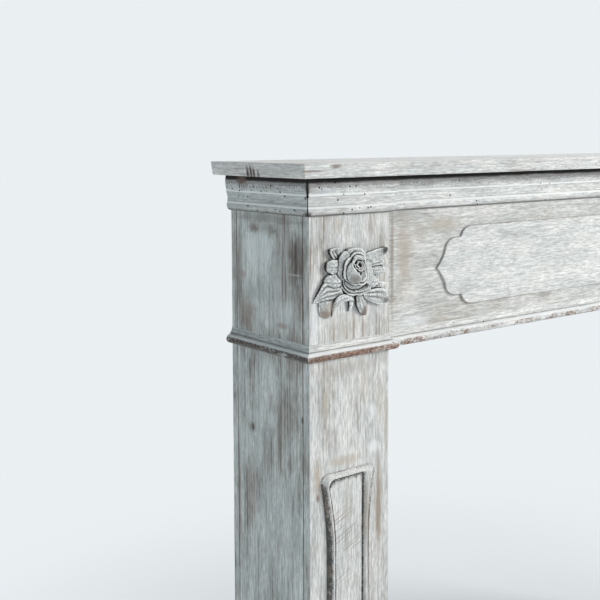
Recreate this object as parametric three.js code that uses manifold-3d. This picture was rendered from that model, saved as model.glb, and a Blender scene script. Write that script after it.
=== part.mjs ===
// A painted pine fireplace mantelpiece: two hollow legs with raised panels and rose appliques, a frieze with a
// shaped cartouche, mitred cornice and astragal mouldings, and a shelf.
// Millimetres. +Z is up, +X runs along the shelf, the wall is towards +Y and the room towards -Y.
// The origin lies on the floor, under the middle of the shelf.

import * as THREE from 'three';
import { mergeVertices } from 'three/addons/utils/BufferGeometryUtils.js';
import Module from 'manifold-3d';

// Main sizes
const MANTEL_HEIGHT = 1050; // floor to the top of the shelf
const LEGS_SPAN = 1130; // over the outer faces of the two legs
const LEG_WIDTH = 150;
const LEG_DEPTH = 188; // wall to the front face of a leg
const BOARD = 14; // thickness of the leg and frieze boards
const FRIEZE_SETBACK = 13; // the frieze's face behind the legs' faces

// Shelf
const SHELF_THICKNESS = 20;
const SHELF_OVERHANG = 36; // past the legs' faces, at the top edge
const SHELF_UNDERCUT = 3.5; // how far the edge leans in on its way down

// Cornice moulding, from the top down
const CORNICE_PROJECTION = 10.2;
const BAND_HEIGHT = 23.5; // leaning band
const FILLET_HEIGHT = 2.5;
const CORNICE_COVE_HEIGHT = 14.5;
const CORNICE_BEAD_HEIGHT = 13.5;

// Astragal moulding, from the top down
const ASTRAGAL_PROJECTION = 11;
const ASTRAGAL_COVE_HEIGHT = 9.5;
const ASTRAGAL_COVE_PROJECTION = 4.5;
const ASTRAGAL_BEAD_HEIGHT = 15.5;

// Height of the plain block between cornice and astragal
const BLOCK_HEIGHT = 178;

// Plinth boards around each foot
const PLINTH_HEIGHT = 110;
const PLINTH_THICKNESS = 12;
const PLINTH_CHAMFER = 4;

// Clearances at the mitres
const MITRE_GAP = 0.4;
const OPEN_MITRE_GAP = 1.6; // the left front mitre of the cornice has dried out and stands open

// Raised panel on each leg
const PANEL_LENGTH = 340;
const PANEL_TOP_GAP = 163; // from the astragal's underside
const PANEL_SHOULDER_WIDTH = 101;
const PANEL_WAIST_WIDTH = 79;
const PANEL_WAIST_LENGTH = 120; // straight middle part
const PANEL_CORNER_RADIUS = 12;
const PANEL_OFF_CENTRE = 4.5; // towards the leg's outer face
const PANEL_BORDER = 13; // moulded border on the outer side
const PANEL_HEARTH_BORDER = 17; // and on the hearth side, at the waist
const PANEL_HEAD_BORDER = 10; // and at head and foot
const PANEL_HEIGHT = 8; // crest of the border over the leg's face
const PANEL_FIELD_HEIGHT = 5;
const PANEL_FIELD_CORNER = 2; // small radius at the field's hearth side
const PANEL_BORDER_PROFILE = [[0, 0], [0.1, 0.3], [0.5, 1], [0.8, 1]]; // shares of the border's width and crest

// Shaped cartouche on the frieze
const CARTOUCHE_LENGTH = 610;
const CARTOUCHE_DROP = 3.5; // its middle below the middle of the frieze's field
const CARTOUCHE_THICKNESS = 4;
const CARTOUCHE_EDGE = 1.2; // eased edge
const TIP_LENGTH = 20;
const TIP_HALF_HEIGHT = 31;
const LOBE_LENGTH = 34;
const LOBE_HALF_HEIGHT = 45.6;
const BODY_HALF_HEIGHT = 62;
const BODY_SHOULDER_LENGTH = 24;

// Rose applique; the rose's own tables are in hundredths of its width
const ROSE_WIDTH = 133;
const ROSE_DROP = 2; // its middle below the middle of the block

// Colours
const WHITEWASH = 0xcfd0cb;
const WORN_WOOD = 0xa9968a;
const CAST_GREY = 0xbfc3c0;

// Values worked out from the sizes above
const SHELF_DEPTH = LEG_DEPTH + SHELF_OVERHANG;
const SHELF_UNDERSIDE = MANTEL_HEIGHT - SHELF_THICKNESS;
const CORNICE_HEIGHT = BAND_HEIGHT + FILLET_HEIGHT + CORNICE_COVE_HEIGHT + CORNICE_BEAD_HEIGHT;
const ASTRAGAL_HEIGHT = ASTRAGAL_COVE_HEIGHT + ASTRAGAL_BEAD_HEIGHT;
const BLOCK_TOP = SHELF_UNDERSIDE - CORNICE_HEIGHT;
const ASTRAGAL_TOP = BLOCK_TOP - BLOCK_HEIGHT;
const ASTRAGAL_UNDERSIDE = ASTRAGAL_TOP - ASTRAGAL_HEIGHT;
const OPENING_WIDTH = LEGS_SPAN - 2 * LEG_WIDTH;
const FRONT = -LEG_DEPTH; // the wall is at y = 0 until the whole is centred
const FRIEZE_FRONT = FRONT + FRIEZE_SETBACK;

const wasm = await Module();
wasm.setup();

const woodFinish = (colour) => new THREE.MeshStandardMaterial({ color: colour, roughness: 0.8, metalness: 0 });

function piece(name, geometry, colour) {
  const mesh = new THREE.Mesh(geometry, woodFinish(colour));
  mesh.name = name;
  return mesh;
}

function box(name, [x0, x1], [y0, y1], [z0, z1], colour = WHITEWASH) {
  const mesh = piece(name, new THREE.BoxGeometry(x1 - x0, y1 - y0, z1 - z0), colour);
  mesh.position.set((x0 + x1) / 2, (y0 + y1) / 2, (z0 + z1) / 2);
  return mesh;
}

// Closed solid between loops of equally many points: a cap on the first loop, bands, and a cap on the last.
function loft(loops) {
  const count = loops[0].points.length;
  const positions = loops.flatMap(({ points, height }) => points.flatMap((p) => [p.x, p.y, height]));
  const index = [];
  for (let level = 0; level + 1 < loops.length; level++) {
    for (let i = 0; i < count; i++) {
      const a = level * count + i;
      const b = level * count + ((i + 1) % count);
      index.push(a, b, b + count, a, b + count, a + count);
    }
  }
  const cap = (level, up) => {
    const first = level * count;
    for (const [a, b, c] of THREE.ShapeUtils.triangulateShape(loops[level].points, [])) {
      index.push(first + a, first + (up ? b : c), first + (up ? c : b));
    }
  };
  cap(0, false);
  cap(loops.length - 1, true);
  const geometry = new THREE.BufferGeometry();
  geometry.setAttribute('position', new THREE.Float32BufferAttribute(positions, 3));
  geometry.setIndex(index);
  geometry.computeVertexNormals();
  return geometry;
}

// Shelf: a plank whose front and end edges lean in towards the underside.
function shelf() {
  const outline = (inset) => {
    const half = LEGS_SPAN / 2 + SHELF_OVERHANG - inset;
    const front = -SHELF_DEPTH + inset;
    return [[-half, front], [half, front], [half, 0], [-half, 0]].map(([x, y]) => new THREE.Vector2(x, y));
  };
  const mesh = piece('shelf_board', loft([
    { points: outline(SHELF_UNDERCUT), height: 0 },
    { points: outline(0), height: SHELF_THICKNESS },
  ]), WHITEWASH);
  mesh.position.z = SHELF_UNDERSIDE;
  return mesh;
}

// Moulding sections: x is out from the board, y is up, and the top of the moulding is at y = 0. The bare numbers
// are shares of the projection and of the height of each member; a middle point outside a curve pulls it there.
function corniceSection() {
  const out = (share) => CORNICE_PROJECTION * share;
  const bandFoot = -BAND_HEIGHT;
  const filletFoot = bandFoot - FILLET_HEIGHT;
  const coveFoot = filletFoot - CORNICE_COVE_HEIGHT;
  const section = new THREE.Shape();
  section.moveTo(0, 0);
  section.lineTo(out(0.87), 0);
  section.quadraticCurveTo(out(1.16), bandFoot * 0.45, out(0.81), bandFoot);
  section.lineTo(out(0.88), bandFoot);
  section.lineTo(out(0.88), filletFoot);
  section.quadraticCurveTo(out(0.55), filletFoot - CORNICE_COVE_HEIGHT * 0.45, out(0.64), coveFoot);
  section.quadraticCurveTo(out(0.96), coveFoot - CORNICE_BEAD_HEIGHT * 0.45, out(0.5), -CORNICE_HEIGHT * 0.97);
  section.lineTo(0, -CORNICE_HEIGHT);
  return section;
}

function astragalSection() {
  const out = ASTRAGAL_PROJECTION;
  const lip = ASTRAGAL_COVE_PROJECTION;
  const coveFoot = -ASTRAGAL_COVE_HEIGHT;
  const section = new THREE.Shape();
  section.moveTo(0, 0);
  section.quadraticCurveTo(lip * 0.2, coveFoot * 0.75, lip, coveFoot);
  section.lineTo(lip * 0.75, coveFoot - ASTRAGAL_BEAD_HEIGHT * 0.07);
  section.bezierCurveTo(
    out * 1.05, coveFoot - ASTRAGAL_BEAD_HEIGHT * 0.05,
    out * 1.35, coveFoot - ASTRAGAL_BEAD_HEIGHT * 0.85,
    out * 0.4, -ASTRAGAL_HEIGHT * 0.97,
  );
  section.lineTo(0, -ASTRAGAL_HEIGHT);
  return section;
}

function plinthSection() {
  const section = new THREE.Shape();
  section.moveTo(0, 0);
  section.lineTo(PLINTH_THICKNESS - PLINTH_CHAMFER, 0);
  section.lineTo(PLINTH_THICKNESS, -PLINTH_CHAMFER);
  section.lineTo(PLINTH_THICKNESS, -PLINTH_HEIGHT);
  section.lineTo(0, -PLINTH_HEIGHT);
  return section;
}

// One straight length of moulding. It starts at `at`, faces `outward` and runs to the left of someone who faces
// it, which is outward x up. An end is square, or mitred on the outside or the inside of a corner.
const MITRE_SLOPE = { square: 0, outside: 1, inside: -1 };

function moulding(name, section, { at, outward, length, start = 'square', end = 'square', gaps = [0, 0] }, colour) {
  const geometry = new THREE.ExtrudeGeometry(section, { depth: length, bevelEnabled: false, curveSegments: 5 });
  const position = geometry.getAttribute('position');
  for (let i = 0; i < position.count; i++) {
    const out = position.getX(i);
    const along = position.getZ(i) < length / 2
      ? gaps[0] - MITRE_SLOPE[start] * out
      : length - gaps[1] + MITRE_SLOPE[end] * out;
    position.setZ(i, along);
  }
  geometry.computeVertexNormals();
  const mesh = piece(name, geometry, colour);
  const up = new THREE.Vector3(0, 0, 1);
  const face = new THREE.Vector3(...outward);
  const run = new THREE.Vector3().crossVectors(face, up);
  mesh.quaternion.setFromRotationMatrix(new THREE.Matrix4().makeBasis(face, up, run));
  mesh.position.set(...at);
  return mesh;
}

// The lengths of moulding that go round the two legs and along the frieze, at one height.
function mouldingSet(name, section, top, leftCornerGap, colour) {
  const outer = LEGS_SPAN / 2;
  const inner = outer - LEG_WIDTH;
  const gap = MITRE_GAP / 2;
  const set = [
    moulding(`${name}_left_side`, section, {
      at: [-outer, FRONT, top], outward: [-1, 0, 0], length: LEG_DEPTH,
      start: 'outside', gaps: [leftCornerGap / 2, 0],
    }, colour),
    moulding(`${name}_left_front`, section, {
      at: [-inner, FRONT, top], outward: [0, -1, 0], length: LEG_WIDTH,
      start: 'outside', end: 'outside', gaps: [gap, leftCornerGap / 2],
    }, colour),
    moulding(`${name}_left_return`, section, {
      at: [-inner, FRIEZE_FRONT, top], outward: [1, 0, 0], length: FRIEZE_SETBACK,
      start: 'inside', end: 'outside', gaps: [gap, gap],
    }, colour),
    moulding(`${name}_centre`, section, {
      at: [inner, FRIEZE_FRONT, top], outward: [0, -1, 0], length: OPENING_WIDTH,
      start: 'inside', end: 'inside', gaps: [gap, gap],
    }, colour),
    moulding(`${name}_right_return`, section, {
      at: [inner, FRONT, top], outward: [-1, 0, 0], length: FRIEZE_SETBACK,
      start: 'outside', end: 'inside', gaps: [gap, gap],
    }, colour),
    moulding(`${name}_right_front`, section, {
      at: [outer, FRONT, top], outward: [0, -1, 0], length: LEG_WIDTH,
      start: 'outside', end: 'outside', gaps: [gap, gap],
    }, colour),
    moulding(`${name}_right_side`, section, {
      at: [outer, 0, top], outward: [1, 0, 0], length: LEG_DEPTH, end: 'outside', gaps: [0, gap],
    }, colour),
  ];
  return set;
}

// A leg is a box of four boards, open at the foot. Front and back boards cover the edges of the side boards.
function leg(side, outward) {
  const outerFace = outward * LEGS_SPAN / 2;
  const innerFace = outward * (LEGS_SPAN / 2 - LEG_WIDTH);
  const [west, east] = [Math.min(outerFace, innerFace), Math.max(outerFace, innerFace)];
  const height = [0, SHELF_UNDERSIDE];
  const between = [FRONT + BOARD, -BOARD];
  const westName = outward < 0 ? 'outer' : 'inner';
  const eastName = outward < 0 ? 'inner' : 'outer';
  return [
    box(`${side}_leg_front_board`, [west, east], [FRONT, FRONT + BOARD], height),
    box(`${side}_leg_back_board`, [west, east], [-BOARD, 0], height),
    box(`${side}_leg_${westName}_board`, [west, west + BOARD], between, height),
    box(`${side}_leg_${eastName}_board`, [east - BOARD, east], between, height),
  ];
}

function plinth(side, outward) {
  const section = plinthSection();
  const west = outward < 0 ? -LEGS_SPAN / 2 : LEGS_SPAN / 2 - LEG_WIDTH;
  const east = west + LEG_WIDTH;
  const gap = MITRE_GAP / 2;
  const westName = outward < 0 ? 'outer' : 'inner';
  const eastName = outward < 0 ? 'inner' : 'outer';
  return [
    moulding(`${side}_plinth_${westName}`, section, {
      at: [west, FRONT, PLINTH_HEIGHT], outward: [-1, 0, 0], length: LEG_DEPTH,
      start: 'outside', gaps: [gap, 0],
    }, WHITEWASH),
    moulding(`${side}_plinth_front`, section, {
      at: [east, FRONT, PLINTH_HEIGHT], outward: [0, -1, 0], length: LEG_WIDTH,
      start: 'outside', end: 'outside', gaps: [gap, gap],
    }, WHITEWASH),
    moulding(`${side}_plinth_${eastName}`, section, {
      at: [east, 0, PLINTH_HEIGHT], outward: [1, 0, 0], length: LEG_DEPTH, end: 'outside', gaps: [0, gap],
    }, WHITEWASH),
  ];
}

// Stands a flat ornament, drawn in x and y with its relief along z, upright on a face that looks to the room.
function hang(mesh, x, y, z) {
  mesh.rotation.x = Math.PI / 2;
  mesh.position.set(x, y, z);
  return mesh;
}

// One flank of the panel's outline, from its top corner down to its foot corner, on the side of positive x.
function panelFlank(halfLength, halfShoulder, halfWaist, radius) {
  const CORNER_STEPS = 4;
  const FLANK_STEPS = 14;
  const SPRING = 1.7; // 1 is a straight flank, more keeps the swell near head and foot
  const flank = halfLength - radius;
  const straight = PANEL_WAIST_LENGTH / 2;
  const points = [];
  for (let i = 0; i < CORNER_STEPS; i++) {
    const turn = (Math.PI / 2) * (1 - i / CORNER_STEPS);
    points.push([halfShoulder - radius + radius * Math.cos(turn), flank + radius * Math.sin(turn)]);
  }
  for (let i = 0; i <= FLANK_STEPS; i++) {
    const y = flank * (1 - (2 * i) / FLANK_STEPS);
    const swell = Math.max(0, Math.abs(y) - straight) / (flank - straight);
    points.push([halfWaist + (halfShoulder - halfWaist) * swell ** SPRING, y]);
  }
  for (let i = 1; i <= CORNER_STEPS; i++) {
    const turn = (Math.PI / 2) * (i / CORNER_STEPS);
    points.push([halfShoulder - radius + radius * Math.cos(turn), -flank - radius * Math.sin(turn)]);
  }
  return points;
}

// Raised leg panel: a waisted board with a moulded border. The field's outer side follows the waist and its hearth
// side is straight. `outward` is -1 on the left leg and 1 on the right one.
function legPanel(side, outward) {
  const half = PANEL_LENGTH / 2;
  const outerHalf = [PANEL_SHOULDER_WIDTH / 2, PANEL_WAIST_WIDTH / 2];
  const fieldHalf = outerHalf.map((width) => width - PANEL_BORDER);
  const hearthHalf = outerHalf[1] - PANEL_HEARTH_BORDER;
  const fieldLength = half - PANEL_HEAD_BORDER;
  const rim = panelFlank(half, ...outerHalf, PANEL_CORNER_RADIUS);
  const waisted = panelFlank(fieldLength, ...fieldHalf, PANEL_CORNER_RADIUS);
  const straight = panelFlank(fieldLength, hearthHalf, hearthHalf, PANEL_FIELD_CORNER);
  const loop = (east, west) => [
    ...west.map(([x, y]) => new THREE.Vector2(-x, y)),
    ...[...east].reverse().map(([x, y]) => new THREE.Vector2(x, y)),
  ];
  const outer = loop(rim, rim);
  const field = outward < 0 ? loop(straight, waisted) : loop(waisted, straight);
  const mesh = piece(`${side}_leg_panel`, loft([
    ...PANEL_BORDER_PROFILE.map(([inward, rise]) => ({
      points: outer.map((p, i) => p.clone().lerp(field[i], inward)),
      height: PANEL_HEIGHT * rise,
    })),
    { points: field, height: PANEL_FIELD_HEIGHT },
  ]), WHITEWASH);
  const x = outward * (LEGS_SPAN / 2 - LEG_WIDTH / 2 + PANEL_OFF_CENTRE);
  return hang(mesh, x, FRONT, ASTRAGAL_UNDERSIDE - PANEL_TOP_GAP - half);
}

// Cartouche: ogee points at both ends, a lobe beside each, and a taller body with hollow shoulders between. The
// bare numbers place the middle points of each curve as shares of that member's length and height.
function cartouche() {
  const half = CARTOUCHE_LENGTH / 2;
  const lobeStart = half - TIP_LENGTH;
  const lobeEnd = lobeStart - LOBE_LENGTH;
  const bodyStart = lobeEnd - BODY_SHOULDER_LENGTH;
  const quarter = new THREE.Path();
  quarter.moveTo(half, 0);
  quarter.bezierCurveTo(
    half - TIP_LENGTH * 0.45, TIP_HALF_HEIGHT * 0.25,
    half - TIP_LENGTH * 0.85, TIP_HALF_HEIGHT * 0.6,
    lobeStart, TIP_HALF_HEIGHT,
  );
  quarter.bezierCurveTo(
    lobeStart - LOBE_LENGTH * 0.06, LOBE_HALF_HEIGHT * 0.88,
    lobeStart - LOBE_LENGTH * 0.35, LOBE_HALF_HEIGHT,
    lobeStart - LOBE_LENGTH * 0.7, LOBE_HALF_HEIGHT,
  );
  quarter.lineTo(lobeEnd, LOBE_HALF_HEIGHT);
  quarter.quadraticCurveTo(lobeEnd - BODY_SHOULDER_LENGTH * 0.2, BODY_HALF_HEIGHT, bodyStart, BODY_HALF_HEIGHT);
  const corner = quarter.getPoints(6);
  const flip = (sx, sy) => corner.map((p) => new THREE.Vector2(p.x * sx, p.y * sy));
  const outline = [
    ...flip(1, 1),
    ...flip(-1, 1).reverse(),
    ...flip(-1, -1).slice(1),
    ...flip(1, -1).slice(1).reverse(),
  ];
  const middle = new THREE.Vector2(half - CARTOUCHE_EDGE, BODY_HALF_HEIGHT - CARTOUCHE_EDGE);
  const inset = outline.map((p) => new THREE.Vector2(p.x * middle.x / half, p.y * middle.y / BODY_HALF_HEIGHT));
  const mesh = piece('frieze_cartouche', loft([
    { points: outline, height: 0 },
    { points: outline, height: CARTOUCHE_THICKNESS - CARTOUCHE_EDGE },
    { points: inset, height: CARTOUCHE_THICKNESS },
  ]), WHITEWASH);
  return hang(mesh, 0, FRIEZE_FRONT, BLOCK_TOP - BLOCK_HEIGHT / 2 - CARTOUCHE_DROP);
}

// Rose applique. Each petal and leaf is a grid of top points with walls down to the flat back of the rose, and the
// union of them all is the carving. All sizes in the tables are hundredths of the rose's width.
const HEAD_CENTRE = [2, 8];
const HEART_CENTRE = [-1, 10];
const BUD_CENTRE = [1.5, 16];

// Petals that curve round a centre. `turn` is the angle where a petal starts and ends, in degrees, `reach` is how
// far its edges lie from the centre, and `rise` is the height of its inner and outer edge.
const RING_PETALS = [
  { centre: HEAD_CENTRE, turn: [108, 200], reach: [14, 26], rise: [6, 9] },
  { centre: HEAD_CENTRE, turn: [188, 286], reach: [12, 25.5], rise: [4.5, 8] },
  { centre: HEAD_CENTRE, turn: [262, 344], reach: [14, 28.5], rise: [4.5, 7.5] },
  { centre: HEAD_CENTRE, turn: [326, 404], reach: [14, 26], rise: [5.5, 8] },
  { centre: HEAD_CENTRE, turn: [34, 120], reach: [13, 25.5], rise: [6, 8] },
  { centre: HEART_CENTRE, turn: [112, 214], reach: [8, 18.5], rise: [9, 12] },
  { centre: HEART_CENTRE, turn: [198, 300], reach: [8, 18.5], rise: [7.5, 11] },
  { centre: HEART_CENTRE, turn: [284, 394], reach: [7, 19.5], rise: [8.5, 11.5] },
  { centre: HEART_CENTRE, turn: [18, 126], reach: [7, 18.5], rise: [9.5, 12] },
  { centre: BUD_CENTRE, turn: [232, 420], reach: [6.5, 10.8], rise: [12, 14] },
  { centre: BUD_CENTRE, turn: [40, 250], reach: [6, 9.6], rise: [12.5, 14.6] },
  { centre: BUD_CENTRE, turn: [180, 400], reach: [3.6, 6.6], rise: [13, 15.4] },
  { centre: BUD_CENTRE, turn: [10, 300], reach: [1.4, 3.8], rise: [13.4, 15.6] },
];

// Leaves and free petals. `from` and `to` are the ends of the midrib, `bow` pushes its middle to the left of its
// way, `neck` is the width at the start as a share of `width`, `rise` is the height at the start, middle and end,
// `droop` lowers both edges, `tilt` raises the right edge and lowers the left one, and `point` sharpens the tip.
const PLAIN_LEAF = { bow: 0, neck: 0.8, droop: 2.5, tilt: 0, point: 0.45 };
const LEAVES = [
  { from: [4, -2], to: [-15, 14], bow: -1, width: 16, rise: [12, 15.2, 13], droop: 3, tilt: 2.4, point: 0.5 },
  { from: [-17, 17], to: [-25, 32.5], bow: 1, width: 17, neck: 0.4, rise: [4, 4.5, 6.5], point: 0.25 },
  { from: [-18, 14], to: [-36, 16], width: 15, neck: 0.7, rise: [5, 7, 4], droop: 4, point: 0.4 },
  { from: [-16, -2], to: [-39, 0], bow: 1, width: 18, rise: [6, 7, 3.5], droop: 3, tilt: 0.8, point: 0.5 },
  {
    from: [-14, -8], to: [-52, -21], bow: -3, width: 24, neck: 0.7,
    rise: [6, 6, 1.5], droop: 2, tilt: 0.6, point: 0.8,
  },
  { from: [-28, -17], to: [-36, -38], bow: 1, width: 20, rise: [3, 2.6, 1.4], droop: 0.6, point: 0.2 },
  {
    from: [0, -21.5], to: [-27, -38], bow: -10.5, width: 10, neck: 0.6,
    rise: [6, 7.4, 2.6], droop: 2, point: 0.55,
  },
  { from: [-4, -20], to: [-3, -35], bow: 2.5, width: 5, rise: [4.5, 4, 2.4], droop: 0.8, point: 0.4 },
  { from: [9, -16], to: [20, -41], bow: -1, width: 13, neck: 0.6, rise: [6, 5.5, 3] },
  { from: [14, -18], to: [51, -28], bow: 2, width: 18, neck: 0.7, rise: [5.5, 6.4, 3.6] },
  { from: [22, -12], to: [51, -9], width: 8, neck: 0.7, rise: [5, 4, 2.4], droop: 1, point: 0.8 },
  { from: [18, -5], to: [38, -6], width: 15, neck: 0.7, rise: [6.5, 6.5, 4], droop: 3 },
  { from: [22, 7], to: [48, 7], width: 11, rise: [7, 6, 4], droop: 3, point: 0.4 },
  { from: [22, 14], to: [46, 15], width: 9, rise: [7, 5.6, 3.6], droop: 2.4, point: 0.4 },
  { from: [12, 18.5], to: [46.5, 25], bow: 1, width: 15, rise: [7.5, 6.5, 6], point: 0.6 },
];

const mix = (a, b, share) => a + (b - a) * share;

// Closed solid under a grid of top points [row][column] = [x, y, z], with a flat back at z = 0.
function relief(top) {
  const rows = top.length;
  const columns = top[0].length;
  const bottom = top.map((row) => row.map(([x, y]) => [x, y, 0]));
  const positions = [top, bottom].flat(3);
  const at = (layer, r, c) => (layer * rows + r) * columns + c;
  const index = [];
  const quad = (a, b, c, d) => index.push(a, b, c, a, c, d);
  for (let r = 0; r + 1 < rows; r++) {
    for (let c = 0; c + 1 < columns; c++) {
      quad(at(0, r, c), at(0, r, c + 1), at(0, r + 1, c + 1), at(0, r + 1, c));
      quad(at(1, r, c), at(1, r + 1, c), at(1, r + 1, c + 1), at(1, r, c + 1));
    }
    quad(at(0, r, 0), at(0, r + 1, 0), at(1, r + 1, 0), at(1, r, 0));
    quad(at(0, r + 1, columns - 1), at(0, r, columns - 1), at(1, r, columns - 1), at(1, r + 1, columns - 1));
  }
  for (let c = 0; c + 1 < columns; c++) {
    quad(at(0, 0, c + 1), at(0, 0, c), at(1, 0, c), at(1, 0, c + 1));
    quad(at(0, rows - 1, c), at(0, rows - 1, c + 1), at(1, rows - 1, c + 1), at(1, rows - 1, c));
  }
  const geometry = new THREE.BufferGeometry();
  geometry.setAttribute('position', new THREE.Float32BufferAttribute(positions, 3));
  geometry.setIndex(index);
  return geometry;
}

function ringPetal({ centre, turn, reach, rise }) {
  const ACROSS = 2;
  const STEP = 24; // degrees
  const END_NARROWING = 0.4; // share of the petal's width that its ends lose
  const END_DROP = 1.5;
  const around = Math.max(5, Math.round((turn[1] - turn[0]) / STEP));
  const grid = [];
  for (let i = 0; i <= around; i++) {
    const end = Math.abs((2 * i) / around - 1) ** 3; // 0 along the petal, 1 at its two ends
    const angle = THREE.MathUtils.degToRad(mix(turn[0], turn[1], i / around));
    const row = [];
    for (let j = 0; j <= ACROSS; j++) {
      const share = j / ACROSS;
      const radius = mix(reach[0], reach[1] - end * (reach[1] - reach[0]) * END_NARROWING, share);
      const height = mix(rise[0], rise[1] - end * END_DROP, share ** 1.5);
      row.push([centre[0] + radius * Math.cos(angle), centre[1] + radius * Math.sin(angle), height]);
    }
    grid.push(row);
  }
  return relief(grid);
}

function leaf(shape) {
  const { from, to, bow, width, neck, rise, droop, tilt, point } = { ...PLAIN_LEAF, ...shape };
  const ALONG = 5;
  const ACROSS = width > 16 ? 4 : 2;
  const WIDEST = 0.45; // share of the length where the leaf is widest
  const TIP = 0.06;
  const THINNEST = 0.4;
  const way = new THREE.Vector2(to[0] - from[0], to[1] - from[1]);
  const left = new THREE.Vector2(-way.y, way.x).normalize();
  const grid = [];
  for (let i = 0; i <= ALONG; i++) {
    const u = i / ALONG;
    const swing = 4 * bow * u * (1 - u);
    const x = from[0] + way.x * u + left.x * swing;
    const y = from[1] + way.y * u + left.y * swing;
    const taper = Math.max(TIP, (1 - Math.max(0, (u - WIDEST) / (1 - WIDEST)) ** 2)) ** point;
    const swell = u < WIDEST ? mix(neck, 1, Math.sin((Math.PI / 2) * (u / WIDEST))) : taper;
    const crest = (1 - u) * (1 - 2 * u) * rise[0] + 4 * u * (1 - u) * rise[1] + u * (2 * u - 1) * rise[2];
    const row = [];
    for (let j = 0; j <= ACROSS; j++) {
      const v = (2 * j) / ACROSS - 1;
      const aside = (v * swell * width) / 2;
      row.push([x - left.x * aside, y - left.y * aside, Math.max(THINNEST, crest - droop * v * v + tilt * v)]);
    }
    grid.push(row);
  }
  return relief(grid);
}

// Low dome that carries the petals.
function roseCore() {
  const RADIUS = 23;
  const HEIGHT = 11;
  const STEPS = 4;
  const SIDES = 14;
  const profile = [new THREE.Vector2(0, 0)];
  for (let i = 0; i <= STEPS; i++) {
    const lift = (Math.PI / 2) * (i / STEPS);
    profile.push(new THREE.Vector2(i === STEPS ? 0 : RADIUS * Math.cos(lift), HEIGHT * Math.sin(lift)));
  }
  const geometry = new THREE.LatheGeometry(profile, SIDES);
  geometry.rotateX(Math.PI / 2);
  geometry.translate(...HEAD_CENTRE, 0);
  return geometry;
}

function toManifold(geometry) {
  const WELD = 1e-4; // mm
  const bare = geometry.clone();
  bare.deleteAttribute('normal');
  bare.deleteAttribute('uv');
  const merged = mergeVertices(bare, WELD);
  const corners = merged.index.array;
  const triVerts = [];
  for (let i = 0; i < corners.length; i += 3) {
    const [a, b, c] = corners.slice(i, i + 3);
    if (a !== b && b !== c && c !== a) triVerts.push(a, b, c);
  }
  return new wasm.Manifold(new wasm.Mesh({
    numProp: 3,
    vertProperties: new Float32Array(merged.getAttribute('position').array),
    triVerts: new Uint32Array(triVerts),
  }));
}

function fromManifold(solid) {
  const mesh = solid.getMesh();
  const geometry = new THREE.BufferGeometry();
  geometry.setAttribute('position', new THREE.Float32BufferAttribute(mesh.vertProperties, 3));
  geometry.setIndex(new THREE.Uint32BufferAttribute(mesh.triVerts, 1));
  geometry.computeVertexNormals();
  return geometry;
}

function roseGeometry() {
  const reliefs = [...LEAVES.map(leaf), ...RING_PETALS.map(ringPetal)];
  let solid = toManifold(roseCore());
  for (const geometry of reliefs) solid = solid.add(toManifold(geometry));
  const geometry = fromManifold(solid);
  const unit = ROSE_WIDTH / 100;
  geometry.scale(unit, unit, unit);
  return geometry;
}

function rose(side, outward, geometry) {
  const x = outward * (LEGS_SPAN / 2 - LEG_WIDTH / 2);
  return hang(piece(`${side}_rose`, geometry, CAST_GREY), x, FRONT, BLOCK_TOP - BLOCK_HEIGHT / 2 - ROSE_DROP);
}

const mantel = new THREE.Group();
mantel.name = 'fireplace_mantelpiece';
mantel.position.y = SHELF_DEPTH / 2;
mantel.add(shelf());
mantel.add(...mouldingSet('cornice', corniceSection(), SHELF_UNDERSIDE, OPEN_MITRE_GAP, WHITEWASH));
mantel.add(...mouldingSet('astragal', astragalSection(), ASTRAGAL_TOP, MITRE_GAP, WORN_WOOD));
mantel.add(box(
  'frieze_board',
  [-OPENING_WIDTH / 2, OPENING_WIDTH / 2],
  [FRIEZE_FRONT, FRIEZE_FRONT + BOARD],
  [ASTRAGAL_UNDERSIDE, SHELF_UNDERSIDE],
));
mantel.add(cartouche());
const carvedRose = roseGeometry();
for (const [side, outward] of [['left', -1], ['right', 1]]) {
  mantel.add(...leg(side, outward));
  mantel.add(...plinth(side, outward));
  mantel.add(legPanel(side, outward));
  mantel.add(rose(side, outward, carvedRose));
}

export default mantel;
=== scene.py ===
"""Whitewashed pine mantelpiece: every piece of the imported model, finished as old painted wood."""

import math
from functools import cache

import bpy
import numpy as np
from mathutils import Matrix, Vector, noise


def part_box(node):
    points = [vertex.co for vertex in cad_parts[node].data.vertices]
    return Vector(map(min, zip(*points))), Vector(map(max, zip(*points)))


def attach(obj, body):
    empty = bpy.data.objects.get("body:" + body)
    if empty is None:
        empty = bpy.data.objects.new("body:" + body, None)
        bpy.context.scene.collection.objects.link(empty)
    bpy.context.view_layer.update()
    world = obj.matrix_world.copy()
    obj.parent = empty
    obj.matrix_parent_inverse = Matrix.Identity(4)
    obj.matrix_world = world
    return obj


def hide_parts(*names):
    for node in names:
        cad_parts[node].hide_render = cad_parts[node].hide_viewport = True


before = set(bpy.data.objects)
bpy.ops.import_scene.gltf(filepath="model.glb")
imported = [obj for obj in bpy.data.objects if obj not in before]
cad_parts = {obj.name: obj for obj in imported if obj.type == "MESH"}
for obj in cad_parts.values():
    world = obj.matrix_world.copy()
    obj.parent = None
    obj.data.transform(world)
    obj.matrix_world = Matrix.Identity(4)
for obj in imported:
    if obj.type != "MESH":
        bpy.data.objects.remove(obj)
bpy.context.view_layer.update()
MM = 0.001
SCENE = bpy.context.scene

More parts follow.
